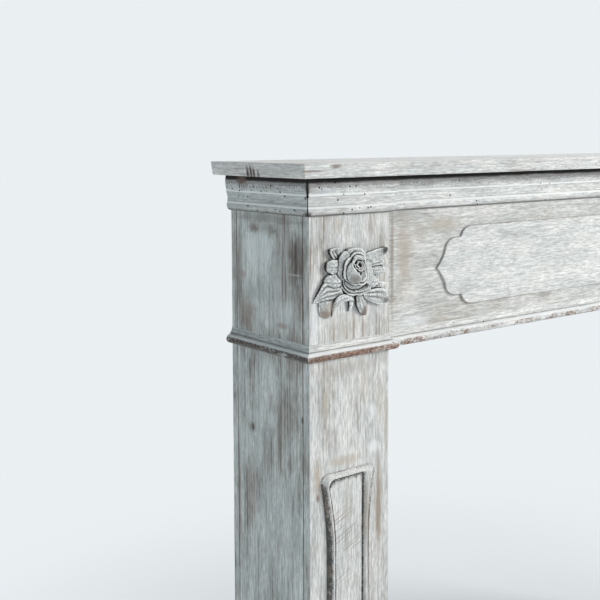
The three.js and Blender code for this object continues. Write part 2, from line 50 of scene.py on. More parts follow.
# Sizes, in millimetres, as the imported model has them
MANTEL_HEIGHT = 1050
LEGS_SPAN = 1130
LEG_WIDTH = 150
LEG_DEPTH = 188
FRIEZE_SETBACK = 13
SHELF_THICKNESS = 20
SHELF_OVERHANG = 36
SHELF_UNDERCUT = 3.5
CORNICE = {"projection": 10.2, "band": 23.5, "fillet": 2.5, "cove": 14.5, "bead": 13.5}
ASTRAGAL = {"projection": 11, "lip": 4.5, "cove": 9.5, "bead": 15.5}
BLOCK_HEIGHT = 178
PLINTH = {"height": 110, "thickness": 12, "chamfer": 4}
MITRE_GAP = 0.4
OPEN_MITRE_GAP = 1.6
PANEL_LENGTH = 340
PANEL_TOP_GAP = 163
PANEL_OFF_CENTRE = 4.5
PANEL_WAIST_LENGTH = 120
PANEL_HALF_SHOULDER = 50.5
PANEL_HALF_WAIST = 39.5
PANEL_CORNER = 12
PANEL_RIM_WIDTH = {"ends": 10, "shaped": 13, "straight": 17}
CARTOUCHE_LENGTH = 610
CARTOUCHE_HALF_HEIGHT = 62
CARTOUCHE_DROP = 3.5
ROSE_UNIT = 1.33
ROSE_DROP = 2

# Fine work and wear that only the finished meshes have, in millimetres
BOARD_THICKNESS = 14
ARRIS_RADIUS = 0.8
ARRIS_CHIP = 3.0
LARGEST_ARRIS = 2.6
ARRIS_CUTS = (0.35, 0.9, 2.0, 5.0)
RUN_STEP = 6.0
WAVER = 0.2
HOLE_RADIUS = 1.3
HOLE_DEPTH = 6
PRESSED_SPACING = 16.5
PRESSED_RADIUS = 3.6
PRESSED_THICKNESS = 0.55
PANEL_FIELD_RISE = 5.0
ROSE_VOXEL = 0.62
MARK_DEPTH = 9

WALL = (LEG_DEPTH + SHELF_OVERHANG) / 2  # y of the wall in the row frame
FRONT = WALL - LEG_DEPTH
FRIEZE_FRONT = FRONT + FRIEZE_SETBACK
SHELF_UNDERSIDE = MANTEL_HEIGHT - SHELF_THICKNESS
CORNICE_HEIGHT = CORNICE["band"] + CORNICE["fillet"] + CORNICE["cove"] + CORNICE["bead"]
ASTRAGAL_HEIGHT = ASTRAGAL["cove"] + ASTRAGAL["bead"]
BLOCK_TOP = SHELF_UNDERSIDE - CORNICE_HEIGHT
ASTRAGAL_TOP = BLOCK_TOP - BLOCK_HEIGHT
ASTRAGAL_UNDERSIDE = ASTRAGAL_TOP - ASTRAGAL_HEIGHT
OUTER = LEGS_SPAN / 2
INNER = OUTER - LEG_WIDTH

# Colours of the finish, as linear light
LIME_WHITE = (0.70, 0.695, 0.675)
LIME_COOL = (0.58, 0.60, 0.595)
BARE_PINE = (0.47, 0.41, 0.34)
# Painted shade: the next four colours are darker copies of the lime paint and the bare wood, for the faces that
# look along X
SHADE_WHITE = (0.58, 0.62, 0.61)
SHADE_COOL = (0.44, 0.485, 0.48)
SHADE_WOOD = (0.27, 0.245, 0.215)
CORNICE_SHADE = (0.42, 0.45, 0.44)
OLD_BROWN = (0.15, 0.095, 0.068)
# The next colour is soot, and also the near-black painted shade inside open joints and worm holes
SOOT_AND_GAP_SHADE = (0.022, 0.020, 0.018)
RUST_BROWN = (0.33, 0.17, 0.105)
# Painted shade: a darker copy of the rust brown, for the astragal's lengths on the sides
RUST_SHADE = (0.11, 0.085, 0.068)
# The next two are dark tones for grime and for painted shade in hollows
GRIME_AND_SHADE = (0.045, 0.048, 0.04)
GRIME_AND_SHADE_BROWN = (0.13, 0.095, 0.07)
BACKDROP = (0.826, 0.868, 0.892)


def darker(colour, share):
    return tuple(c * share for c in colour)


# Camera, light and floor
def place_camera():
    """The photo's camera. Its focal length and picture centre are in pixels of a square frame."""
    side, sensor = 600, 36
    focal, centre_x, centre_y = 1016.57, 299.50, 221.63
    yaw, pitch, roll = (math.radians(a) for a in (37.9468, 4.7353, -0.2406))
    forward = Vector((math.sin(yaw) * math.cos(pitch), math.cos(yaw) * math.cos(pitch), -math.sin(pitch)))
    level = Vector((math.cos(yaw), -math.sin(yaw), 0))
    upright = level.cross(forward)
    right = level * math.cos(roll) + upright * math.sin(roll)
    up = upright * math.cos(roll) - level * math.sin(roll)
    camera = bpy.data.cameras.new("photo_camera")
    camera.sensor_width = sensor
    camera.lens = focal / side * sensor
    camera.shift_x = (side / 2 - centre_x) / side
    camera.shift_y = (centre_y - side / 2) / side
    camera.clip_start = 0.02
    holder = bpy.data.objects.new("photo_camera", camera)
    SCENE.collection.objects.link(holder)
    turn = Matrix((right, up, -forward)).transposed().to_4x4()
    holder.matrix_world = Matrix.Translation((-1.42580, -1.15981, 1.08477)) @ turn
    SCENE.camera = holder


def softbox(name, place, aim, size, watts, colour):
    """A rectangular lamp at `place`, turned to `aim`."""
    lamp = bpy.data.lights.new(name, "AREA")
    lamp.shape = "RECTANGLE"
    lamp.size, lamp.size_y = size
    lamp.energy = watts
    lamp.color = colour
    holder = bpy.data.objects.new(name, lamp)
    SCENE.collection.objects.link(holder)
    holder.location = place
    holder.rotation_euler = (Vector(aim) - Vector(place)).to_track_quat("-Z", "Y").to_euler()


def studio():
    """Pale backdrop that lights softly, three lamps, and a floor."""
    SCENE.view_settings.view_transform = "Standard"
    world = bpy.data.worlds.new("studio")
    SCENE.world = world
    world.use_nodes = True
    n = Wiring(world.node_tree, clear=True)
    to_camera = n.add("ShaderNodeLightPath").outputs["Is Camera Ray"]
    seen = n.add("ShaderNodeBackground", {"Color": (*BACKDROP, 1), "Strength": 1.0})
    glow = n.add("ShaderNodeBackground", {"Color": (0.80, 0.86, 0.90, 1), "Strength": 0.36})
    both = n.add("ShaderNodeMixShader", {0: to_camera, 1: glow.outputs[0], 2: seen.outputs[0]})
    n.add("ShaderNodeOutputWorld", {"Surface": both.outputs[0]})
    softbox("window", (2.35, -2.35, 1.95), (-0.45, -0.05, 0.85), (1.2, 1.2), 99, (1.0, 0.985, 0.96))
    softbox("fill", (-3.0, -0.9, 1.5), (-0.5, 0.0, 0.8), (1.6, 2.0), 9, (0.90, 0.95, 1.0))
    softbox("top", (0.2, -0.3, 3.2), (-0.2, 0.0, 1.0), (1.6, 1.2), 34, (1.0, 1.0, 1.0))

    bpy.ops.mesh.primitive_circle_add(vertices=96, radius=12, fill_type="NGON")
    floor = bpy.context.object
    floor.name = "studio_floor"
    floor.data.materials.append(floor_finish())


def floor_finish():
    """Plain pale floor that fades into the backdrop some way off."""
    material, n, shader = new_material("studio_floor")
    far = n.add("ShaderNodeVectorMath", {0: n.coordinates()}, operation="LENGTH")
    fade = n.span(far.outputs["Value"], 0.2, 1.5, 0.25, 1.0)
    speck = n.noise(n.coordinates(), 9.0, detail=5)
    tone = n.mix(speck, (0.80, 0.83, 0.84), (0.84, 0.865, 0.875))
    n.feed(shader.inputs["Base Color"], tone)
    shader.inputs["Roughness"].default_value = 0.6
    glow = n.add("ShaderNodeEmission", {"Color": (*BACKDROP, 1), "Strength": 1.0})
    out = n.tree.nodes["Material Output"]
    both = n.add("ShaderNodeMixShader", {0: fade, 1: shader.outputs[0], 2: glow.outputs[0]})
    n.feed(out.inputs["Surface"], both.outputs[0])
    return material


# Node wiring
class Wiring:
    """Adds nodes to one tree. A value is a number, a tuple or another node's output socket."""

    def __init__(self, tree, clear=False):
        self.tree = tree
        if clear:
            tree.nodes.clear()

    def feed(self, socket, value):
        if isinstance(value, bpy.types.NodeSocket):
            self.tree.links.new(value, socket)
        elif socket.type == "RGBA" and len(value) == 3:
            socket.default_value = (*value, 1)
        else:
            socket.default_value = value

    def add(self, kind, inputs=None, **settings):
        node = self.tree.nodes.new(kind)
        for key, value in settings.items():
            setattr(node, key, value)
        for key, value in (inputs or {}).items():
            self.feed(node.inputs[key], value)
        return node

    def math(self, operation, *values, clamp=False):
        node = self.add("ShaderNodeMath", dict(enumerate(values)), operation=operation, use_clamp=clamp)
        return node.outputs[0]

    def xyz(self, **parts):
        return self.add("ShaderNodeCombineXYZ", parts).outputs[0]

    def split(self, vector):
        return self.add("ShaderNodeSeparateXYZ", {0: vector}).outputs

    def times(self, a, b, **settings):
        return self.math("MULTIPLY", a, b, **settings)

    def plus(self, a, b, **settings):
        return self.math("ADD", a, b, **settings)

    def minus(self, a, b):
        return self.math("SUBTRACT", a, b)

    def off_middle(self, value, share):
        """How far a noise value is from its middle, times `share`."""
        return self.times(self.minus(value, 0.5), share)

    def vector(self, operation, *values):
        return self.add("ShaderNodeVectorMath", dict(enumerate(values)), operation=operation).outputs[0]

    def stretched(self, vector, shares):
        return self.vector("MULTIPLY", vector, shares)

    def mix(self, share, a, b, blend="MIX"):
        node = self.add("ShaderNodeMix", data_type="RGBA", blend_type=blend)
        for socket, value in zip((node.inputs[0], node.inputs[6], node.inputs[7]), (share, a, b)):
            self.feed(socket, value)
        return node.outputs[2]

    def span(self, value, low, high, to_low=0.0, to_high=1.0):
        """Smooth step from `to_low` where the value is `low` to `to_high` where it is `high`."""
        inputs = {"Value": value, "From Min": low, "From Max": high, "To Min": to_low, "To Max": to_high}
        return self.add("ShaderNodeMapRange", inputs, interpolation_type="SMOOTHSTEP").outputs["Result"]

    def noise(self, vector, scale, detail=3.0, roughness=0.55):
        inputs = {"Vector": vector, "Scale": scale, "Detail": detail, "Roughness": roughness}
        return self.add("ShaderNodeTexNoise", inputs).outputs["Fac"]

    def coordinates(self):
        return self.add("ShaderNodeTexCoord").outputs["Object"]

    def random(self, low, high, seed):
        node = self.add("FunctionNodeRandomValue", {2: low, 3: high, "Seed": seed}, data_type="FLOAT")
        return node.outputs[1]

    def group(self, tree, inputs):
        node = self.tree.nodes.new("ShaderNodeGroup")
        node.node_tree = tree
        for key, value in inputs.items():
            self.feed(node.inputs[key], value)
        return node


def new_group(name, kind, inputs, outputs):
    """An empty node group with named sockets: returns it, its wiring, and its input and output nodes."""
    tree = bpy.data.node_groups.new(name, kind)
    for way, sockets in (("INPUT", inputs), ("OUTPUT", outputs)):
        for label, socket_type, *default in sockets:
            socket = tree.interface.new_socket(name=label, in_out=way, socket_type="NodeSocket" + socket_type)
            if default:
                socket.default_value = default[0]
    n = Wiring(tree)
    return tree, n, n.add("NodeGroupInput").outputs, n.add("NodeGroupOutput").inputs


def new_material(name):
    material = bpy.data.materials.new(name)
    material.use_nodes = True
    n = Wiring(material.node_tree)
    return material, n, material.node_tree.nodes["Principled BSDF"]


# Effects that several finishes share
@cache
def limewash_group():
    """Lime paint brushed thinly on pine and rubbed back. X of the vector runs with the grain."""
    tones = {"White": LIME_WHITE, "Wash": LIME_COOL, "Wood": BARE_PINE, "Dark": OLD_BROWN}
    inputs = [("Vector", "Vector")]
    inputs += [(label, "Float", 0.5) for label in ("Cover", "Grain", "Patches", "Ticks")]
    inputs += [(label, "Color", (*tone, 1)) for label, tone in tones.items()]
    tree, n, given, result = new_group("limewashed_pine", "ShaderNodeTree", inputs,
                                       [("Color", "Color"), ("Rough", "Float"), ("Height", "Float")])
    vector = given["Vector"]
    sway = n.stretched(vector, (0.3, 1, 1))
    sway = n.add("ShaderNodeTexNoise", {"Vector": sway, "Scale": 6.0, "Detail": 2.0}).outputs["Color"]
    offset = n.stretched(n.vector("SUBTRACT", sway, (0.5, 0.5, 0.5)), (0.0, 0.008, 0.008))
    bent = n.vector("ADD", vector, offset)
    long = n.stretched(bent, (0.022, 1, 1))
    fibre = n.noise(long, 520.0, detail=3, roughness=0.6)
    strand = n.noise(n.vector("ADD", long, (0.3, 0.7, 0.1)), 230.0, detail=3, roughness=0.6)
    thread = n.noise(n.vector("ADD", long, (0.9, 0.2, 0.5)), 330.0, detail=2, roughness=0.5)
    board = n.noise(n.stretched(bent, (0.06, 1, 1)), 60.0, detail=3, roughness=0.5)
    cloud = n.noise(n.stretched(vector, (0.6, 1, 1)), 14.0, detail=5, roughness=0.6)
    dapple = n.noise(n.stretched(vector, (0.30, 1, 1)), 42.0, detail=5, roughness=0.62)
    speck = n.noise(n.stretched(bent, (0.07, 1, 1)), 300.0, detail=3, roughness=0.6)
    sanded = n.add("ShaderNodeMapping", {"Vector": vector, "Rotation": (0.5, 0.4, 0.9)}).outputs[0]
    sanded = n.noise(n.stretched(sanded, (0.06, 1, 1)), 210.0, detail=2, roughness=0.5)
    fleck = n.noise(n.stretched(bent, (0.10, 1, 1)), 330.0, detail=2, roughness=0.5)
    grit = n.noise(n.stretched(bent, (0.13, 1, 1)), 560.0, detail=2, roughness=0.6)

    level = n.plus(cloud, n.off_middle(dapple, 0.5))
    level = n.plus(level, n.off_middle(board, 0.25))
    level = n.minus(level, n.minus(given["Cover"], 0.5))
    thin = n.span(level, 0.38, 0.74)
    lines = n.times(n.span(fibre, 0.46, 0.62), 0.45)
    lines = n.plus(lines, n.times(n.span(strand, 0.48, 0.64), 0.6))
    lines = n.times(lines, given["Grain"], clamp=True)
    open_grain = n.times(lines, n.plus(0.33, n.times(thin, 1.1)))
    patch = n.times(n.span(level, 0.50, 0.72), given["Patches"])
    bare = n.plus(open_grain, n.times(patch, 0.8), clamp=True)

    paint = n.mix(n.span(dapple, 0.30, 0.66), given["White"], given["Wash"])
    scumble = n.times(n.span(level, 0.50, 0.32), n.span(sanded, 0.44, 0.60))
    paint = n.mix(n.times(scumble, 0.28), paint, n.mix(1.0, given["White"], (1.2, 1.2, 1.2), "MULTIPLY"))
    wood = n.mix(n.times(n.span(strand, 0.46, 0.66), 0.7), given["Wood"], given["Dark"])
    colour = n.mix(n.times(bare, 0.74), paint, wood)
    grainy = n.times(n.span(speck, 0.34, 0.66, 1.08, 0.89), n.span(thread, 0.34, 0.46, 1.09, 1.0))
    grainy = n.times(grainy, n.span(grit, 0.34, 0.66, 1.17, 0.81))
    grey = n.add("ShaderNodeCombineColor", {0: grainy, 1: grainy, 2: grainy}).outputs[0]
    colour = n.mix(1.0, colour, grey, "MULTIPLY")
    crack = n.times(n.span(thread, 0.58, 0.64), n.plus(0.16, n.times(thin, 0.8)))
    colour = n.mix(n.times(crack, given["Grain"], clamp=True), colour, given["Dark"])
    tick = n.times(n.span(fleck, 0.66, 0.71), n.times(thin, given["Ticks"]), clamp=True)
    colour = n.mix(tick, colour, given["Dark"])
    n.feed(result["Color"], colour)
    n.feed(result["Rough"], n.span(bare, 0.0, 1.0, 0.64, 0.86))
    height = n.minus(n.times(strand, -0.5), n.times(bare, 0.5))
    height = n.minus(height, n.times(n.plus(tick, crack), 0.6))
    n.feed(result["Height"], n.plus(height, n.times(speck, 0.4)))
    return tree


@cache
def spot_group():
    """A soft blot round a point, with a ragged rim: 1 in the middle, 0 outside."""
    tree, n, given, result = new_group(
        "soft_blot", "ShaderNodeTree",
        [("Vector", "Vector"), ("Centre", "Vector"), ("Reach", "Vector"), ("Ragged", "Float", 0.6)],
        [("Mask", "Float")])
    away = n.vector("DIVIDE", n.vector("SUBTRACT", given["Vector"], given["Centre"]), given["Reach"])
    far = n.add("ShaderNodeVectorMath", {0: away}, operation="LENGTH").outputs["Value"]
    stretch = n.vector("DIVIDE", given["Vector"], given["Reach"])
    rag = n.noise(stretch, 2.6, detail=5, roughness=0.7)
    rag = n.times(n.minus(rag, 0.5), n.times(given["Ragged"], 2.6))
    n.feed(result["Mask"], n.span(n.plus(far, rag), 1.35, 0.30))
    return tree


@cache
def flaked_group():
    """Paint flaked off in patches and flecks that run with the grain, where Amount is high enough."""
    tree, n, given, result = new_group(
        "flaked_paint", "ShaderNodeTree",
        [("Vector", "Vector"), ("Amount", "Float", 0.5)], [("Bare", "Float"), ("Pits", "Float")])
    vector = n.stretched(given["Vector"], (0.4, 1, 1))
    patch = n.noise(vector, 60.0, detail=6, roughness=0.72)
    fleck = n.noise(n.stretched(given["Vector"], (0.6, 1, 1)), 330.0, detail=4, roughness=0.7)
    level = n.plus(patch, n.off_middle(fleck, 0.55))
    level = n.plus(level, n.times(n.minus(given["Amount"], 0.5), 0.6))
    n.feed(result["Bare"], n.span(level, 0.44, 0.60))
    pit = n.plus(fleck, n.times(n.minus(level, 0.55), 0.5))
    n.feed(result["Pits"], n.span(pit, 0.54, 0.70))
    return tree


@cache
def rubbed_edge_group():
    """Paint lost along an arris. The mesh attribute is 1 on the arris and 0 a few millimetres away."""
    tree, n, given, result = new_group(
        "rubbed_edge", "ShaderNodeTree",
        [("Vector", "Vector"), ("Arris", "Float"), ("Amount", "Float", 0.6)], [("Mask", "Float")])
    ragged = n.noise(given["Vector"], 95.0, detail=5, roughness=0.7)
    run = n.noise(given["Vector"], 16.0, detail=3)
    level = n.plus(given["Arris"], n.off_middle(ragged, 1.5))
    level = n.plus(level, n.off_middle(run, 1.6))
    level = n.plus(level, n.minus(given["Amount"], 0.5))
    n.feed(result["Mask"], n.span(level, 0.80, 1.15))
    return tree


def blot(n, place, centre, reach, **settings):
    """Mask of one soft blot round a point, from its centre and reach in millimetres."""
    values = {"Vector": place, "Centre": [c * MM for c in centre], "Reach": [r * MM for r in reach]}
    return n.group(spot_group(), {**values, **settings}).outputs["Mask"]


GRAIN_TURN = {"X": (0, 0, 0), "Y": (0, 0, -math.pi / 2), "Z": (0, math.pi / 2, 0)}


def whitewashed(name, along="X", shift=(0, 0, 0), cover=0.55, grain=0.5, patches=0.4, ticks=0.5, edge=0.5,
                white=LIME_WHITE, wash=LIME_COOL, wood=BARE_PINE, dark=OLD_BROWN, spots=(), light_and_shade_lines=(),
                joints_and_shadow_lines=(), dirt_and_shade=0.0, flaked=None, rust=RUST_BROWN):
    """A painted wood finish. `dirt_and_shade` darkens the places of a mesh with a high `hollow` value: grime in
    deep places, and painted shade in creases and on faces turned from the lamps. These sit in one place, in
    millimetres of the row frame:
    `spots` are (centre, reach, colour, strength, streak); a streak under 0 gives slanting scratches
    `light_and_shade_lines` are lines of painted shade and painted highlight: (low, high, colour, strength,
    ragged)
    `joints_and_shadow_lines` are joints and painted shadow lines: (axis, place, half width)
    `flaked` is (low, high, amount, [(centre, reach, extra amount)])"""
    material, n, shader = new_material(name)
    place = n.coordinates()
    turned = {"Vector": place, "Rotation": GRAIN_TURN[along], "Location": shift}
    grained = n.add("ShaderNodeMapping", turned).outputs[0]
    values = {"Vector": grained, "Cover": cover, "Grain": grain, "Patches": patches, "Ticks": ticks}
    tones = {"White": white, "Wash": wash, "Wood": wood, "Dark": dark}
    base = n.group(limewash_group(), {**values, **tones})
    colour = base.outputs["Color"]
    if flaked:
        colour = flaked_off(n, place, grained, colour, flaked, rust, white)
    colour = with_light_and_shade_lines(n, place, grained, colour, light_and_shade_lines)
    if spots:
        colour = with_spots(n, place, grained, colour, spots)
    colour = with_joints_and_shadow_lines(n, place, grained, colour, joints_and_shadow_lines)
    if dirt_and_shade:
        colour = with_grime_and_shade(n, place, colour, dirt_and_shade)
    arris = n.add("ShaderNodeAttribute", attribute_name="arris").outputs["Fac"]
    worn = n.group(rubbed_edge_group(), {"Vector": place, "Arris": arris, "Amount": edge})
    colour = n.mix(n.times(worn.outputs["Mask"], 0.75), colour, wood)
    n.feed(shader.inputs["Base Color"], colour)
    n.feed(shader.inputs["Roughness"], base.outputs["Rough"])
    shader.inputs["Specular IOR Level"].default_value = 0.28
    relief = n.add("ShaderNodeBump", {"Height": base.outputs["Height"], "Strength": 0.35, "Distance": 0.0006})
    n.feed(shader.inputs["Normal"], relief.outputs["Normal"])
    return material


def flaked_off(n, place, grained, colour, flaked, rust, white):
    """Paint flaked off between two heights: brown wood with dark pits and a few flecks of paint."""
    low, high, amount, more = flaked
    mask = level_mask(n, place, low, high, n.noise(grained, 200.0), 0.6)
    for centre, reach, extra in more:
        amount = n.plus(amount, n.times(blot(n, place, centre, reach), extra))
    loss = n.group(flaked_group(), {"Vector": grained, "Amount": amount})
    rusty = n.span(n.noise(grained, 260.0, detail=4, roughness=0.7), 0.36, 0.64)
    brown = n.mix(rusty, rust, darker(rust, 0.42))
    flecks = n.span(n.noise(n.stretched(grained, (0.5, 1, 1)), 420.0, detail=3), 0.58, 0.68)
    brown = n.mix(n.times(flecks, 0.7), brown, white)
    colour = n.mix(n.times(loss.outputs["Bare"], n.times(mask, 0.9)), colour, brown)
    return n.mix(n.times(loss.outputs["Pits"], n.times(mask, 0.65)), colour, SOOT_AND_GAP_SHADE)


def with_light_and_shade_lines(n, place, grained, colour, light_and_shade_lines):
    """Lines of painted shade and painted highlight along a moulding, with ragged edges."""
    for low, high, tint, strength, ragged in light_and_shade_lines:
        streak = n.noise(n.stretched(grained, (0.12, 1, 1)), 170.0, detail=5, roughness=0.7)
        mask = level_mask(n, place, low, high, streak, ragged)
        colour = n.mix(n.times(mask, strength), colour, tint)
    return colour


def with_spots(n, place, grained, colour, spots):
    """Soft blots. Some are broken up by threads of grain or by slanting scratches."""
    threads = n.noise(n.stretched(grained, (0.03, 1, 1)), 240.0, detail=3, roughness=0.6)
    threads = n.span(threads, 0.36, 0.60)
    slant = n.add("ShaderNodeMapping", {"Vector": place, "Rotation": (0, math.radians(25), 0)}).outputs[0]
    scratches = n.span(n.noise(n.stretched(slant, (0.03, 1, 1)), 460.0, detail=2), 0.54, 0.64)
    for centre, reach, tint, strength, streak in spots:
        mask = n.times(blot(n, place, centre, reach), strength)
        if streak:
            lines = scratches if streak < 0 else threads
            mask = n.times(mask, n.plus(1 - abs(streak), n.times(lines, abs(streak))))
        colour = n.mix(mask, colour, tint)
    return colour


def with_joints_and_shadow_lines(n, place, grained, colour, joints_and_shadow_lines):
    """Thin brown lines, fainter here and there: joints that show through the paint, and painted shadow where
    the frieze meets the legs.
    """
    for axis, at, half in joints_and_shadow_lines:
        off = n.math("DIVIDE", n.math("ABSOLUTE", n.minus(n.split(place)[axis], at * MM)), half * MM)
        broken = n.noise(n.stretched(grained, (0.5, 1, 1)), 60.0, detail=4)
        mask = n.times(n.span(off, 1.0, 0.4), n.span(broken, 0.25, 0.55, 0.5, 1.0))
        colour = n.mix(mask, colour, darker(OLD_BROWN, 0.6))
    return colour


def with_grime_and_shade(n, place, colour, amount):
    """Darkens where the mesh's `hollow` value is high, with a speckled rim: grime, and painted shade in creases
    and on faces turned from the lamps.
    """
    hollow = n.add("ShaderNodeAttribute", attribute_name="hollow").outputs["Fac"]
    grime = n.noise(place, 120.0, detail=5, roughness=0.7)
    speckle = n.noise(place, 430.0, detail=3, roughness=0.7)
    deep = n.plus(n.plus(hollow, n.off_middle(grime, 0.9)), n.off_middle(speckle, 1.3))
    tint = n.mix(n.span(n.noise(place, 55.0, detail=3), 0.46, 0.64), GRIME_AND_SHADE, GRIME_AND_SHADE_BROWN)
    return n.mix(n.times(n.span(deep, 0.35, 0.95), amount), colour, tint)


def level_mask(n, place, low, high, rag, amount):
    """1 between two heights in millimetres, 0 outside, with edges as ragged as `amount` says."""
    level = n.split(place)["Z"]
    middle, half = (low + high) / 2 * MM, (high - low) / 2 * MM
    off = n.math("DIVIDE", n.math("ABSOLUTE", n.minus(level, middle)), half)
    return n.span(n.plus(off, n.times(n.minus(rag, 0.5), amount)), 1.25, 0.55)


def dark_gap(name, colour):
    """Bare wood inside a joint or a worm hole, painted near-black as painted shade so that open joints and
    holes read dark.
    """
    material, n, shader = new_material(name)
    tone = n.mix(n.noise(n.coordinates(), 400.0), colour, darker(colour, 0.4))
    n.feed(shader.inputs["Base Color"], tone)
    shader.inputs["Roughness"].default_value = 0.95
    shader.inputs["Specular IOR Level"].default_value = 0.1
    return material


# Making pieces
def finished(node, mesh, materials, slot):
    """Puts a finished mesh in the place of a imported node."""
    mesh.name = node + "_finished"
    for material in materials:
        mesh.materials.append(material)
    piece = bpy.data.objects.new(node + "_finished", mesh)
    SCENE.collection.objects.link(piece)
    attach(piece, "root")
    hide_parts(node)
    return piece


def smooth(mesh, angle=42):
    mesh.shade_smooth()
    mesh.set_sharp_from_angle(angle=math.radians(angle))


def add_values(mesh, name, values):
    attribute = mesh.attributes.new(name, "FLOAT", "POINT")
    attribute.data.foreach_set("value", np.asarray(values, np.float32))


def cuts(low, high, step):
    """Places along one axis of a board, in mm: close together by both ends, `step` apart between them."""
    length = high - low
    near = [d for d in ARRIS_CUTS if d < length * 0.45]
    inner = length - 2 * near[-1]
    count = max(1, round(inner / step))
    middle = [near[-1] + inner * i / count for i in range(1, count)]
    offsets = [0, *near, *middle, *[length - d for d in reversed(near)], length]
    return [low + d for d in offsets]


def box_surface(xs, ys, zs):
    """Vertices and outward quads of the surface of a box that is cut at the given places."""
    index, verts, quads = {}, [], []

    def v(i, j, k):
        if (i, j, k) not in index:
            index[(i, j, k)] = len(verts)
            verts.append((xs[i], ys[j], zs[k]))
        return index[(i, j, k)]

    nx, ny, nz = len(xs) - 1, len(ys) - 1, len(zs) - 1
    for i in range(nx):
        for j in range(ny):
            quads.append((v(i, j, 0), v(i, j + 1, 0), v(i + 1, j + 1, 0), v(i + 1, j, 0)))
            quads.append((v(i, j, nz), v(i + 1, j, nz), v(i + 1, j + 1, nz), v(i, j + 1, nz)))
        for k in range(nz):
            quads.append((v(i, 0, k), v(i + 1, 0, k), v(i + 1, 0, k + 1), v(i, 0, k + 1)))
            quads.append((v(i, ny, k), v(i, ny, k + 1), v(i + 1, ny, k + 1), v(i + 1, ny, k)))
    for j in range(ny):
        for k in range(nz):
            quads.append((v(0, j, k), v(0, j, k + 1), v(0, j + 1, k + 1), v(0, j + 1, k)))
            quads.append((v(nx, j, k), v(nx, j + 1, k), v(nx, j + 1, k + 1), v(nx, j, k + 1)))
    return verts, quads


def worn_radius(point, radius):
    """Radius of an arris at a point, in mm: eased everywhere, and larger where it was knocked."""
    slow = noise.noise(Vector(point) * 0.021)
    quick = noise.noise(Vector(point) * 0.12 + Vector((7, 3, 1)))
    worn = radius * (1 + 0.35 * slow) + ARRIS_CHIP * max(0.0, quick - 0.28) * max(0.0, slow + 0.35)
    return min(worn, LARGEST_ARRIS)


def board_mesh(low, high, step=7.0, radius=ARRIS_RADIUS, lean=None):
    """A board between two corners, in mm, with eased and slightly knocked arrises."""
    verts, quads = box_surface(*(cuts(low[a], high[a], step) for a in range(3)))
    shaped, arris = [], []
    for p in verts:
        gaps = sorted(min(p[a] - low[a], high[a] - p[a]) for a in range(3))
        arris.append(math.exp(-gaps[1] / LARGEST_ARRIS))
        r = worn_radius(p, radius)
        core = Vector([min(max(p[a], low[a] + r), high[a] - r) for a in range(3)])
        out = Vector(p) - core
        q = core + out.normalized() * r if out.length > 1e-6 else Vector(p)
        shaped.append(lean(q) if lean else q)
    mesh = bpy.data.meshes.new("board")
    mesh.from_pydata([q * MM for q in shaped], [], quads)
    add_values(mesh, "arris", arris)
    smooth(mesh)
    return mesh


def board(node, material, slot="whitewashed_pine", sides=None, **shape):
    """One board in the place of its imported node. `sides` is the finish of the faces that look along X."""
    low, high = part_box(node)
    mesh = board_mesh(low / MM, high / MM, **shape)
    if sides:
        for polygon in mesh.polygons:
            polygon.material_index = int(abs(polygon.normal.x) > 0.75)
    return finished(node, mesh, [material, sides] if sides else [material], slot)


# Mouldings
def bend(points, start, pull, end, steps):
    """Adds a curve from `start` to `end` that leans towards `pull`."""
    for i in range(steps + 1):
        t = i / steps
        points.append(tuple(
            (1 - t) ** 2 * a + 2 * t * (1 - t) * b + t * t * c for a, b, c in zip(start, pull, end)))


def bezier(p0, p1, p2, p3, t):
    """The point at share `t` of a curve between `p0` and `p3` that leans towards the other two."""
    weights = ((1 - t) ** 3, 3 * t * (1 - t) ** 2, 3 * t * t * (1 - t), t ** 3)
    return tuple(sum(k * p[a] for k, p in zip(weights, (p0, p1, p2, p3))) for a in (0, 1))


def cornice_profile():
    """Outline of the cornice: bulging band, fillet, cove and bead, [out from the board, up]."""
    out, band = CORNICE["projection"], -CORNICE["band"]
    fillet = band - CORNICE["fillet"]
    cove = fillet - CORNICE["cove"]
    points = [(0, 0)]
    bend(points, (out * 0.87, 0), (out * 1.16, band * 0.45), (out * 0.81, band), 12)
    points += [(out * 0.86, band - 0.25), (out * 0.88, band - 0.7), (out * 0.88, fillet + 0.6)]
    bend(points, (out * 0.86, fillet), (out * 0.55, fillet - CORNICE["cove"] * 0.45), (out * 0.64, cove), 9)
    points.append((out * 0.66, cove - 0.25))
    bend(points, (out * 0.69, cove - 0.5), (out * 0.96, cove - CORNICE["bead"] * 0.45),
         (out * 0.5, -CORNICE_HEIGHT * 0.97), 9)
    points += [(out * 0.2, -CORNICE_HEIGHT * 0.995), (0, -CORNICE_HEIGHT)]
    return points


def astragal_profile():
    """Outline of the astragal: a cove over a round bead."""
    out, lip, cove = ASTRAGAL["projection"], ASTRAGAL["lip"], -ASTRAGAL["cove"]
    bead = ASTRAGAL["bead"]
    points = [(0, 0)]
    bend(points, (0.4, -0.2), (lip * 0.2, cove * 0.75), (lip, cove), 7)
    points.append((lip * 0.8, cove - bead * 0.04))
    pulls = [(lip * 0.75, cove - bead * 0.07), (out * 1.05, cove - bead * 0.05),
             (out * 1.35, cove - bead * 0.85), (out * 0.4, -ASTRAGAL_HEIGHT * 0.97)]
    points += [bezier(*pulls, i / 14) for i in range(15)]
    points += [(out * 0.15, -ASTRAGAL_HEIGHT * 0.99), (0, -ASTRAGAL_HEIGHT)]
    return points


def plinth_profile():
    """Outline of a plinth board, chamfered along its top."""
    deep, chamfer, high = PLINTH["thickness"], PLINTH["chamfer"], PLINTH["height"]
    points = [(0, 0), (deep - chamfer - 0.6, 0), (deep - chamfer, -0.25), (deep - 0.25, -chamfer),
              (deep, -chamfer - 0.6)]
    points += [(deep, -high * i / 8) for i in range(1, 8)]
    return points + [(deep, -high + 0.8), (deep - 0.8, -high), (0, -high)]


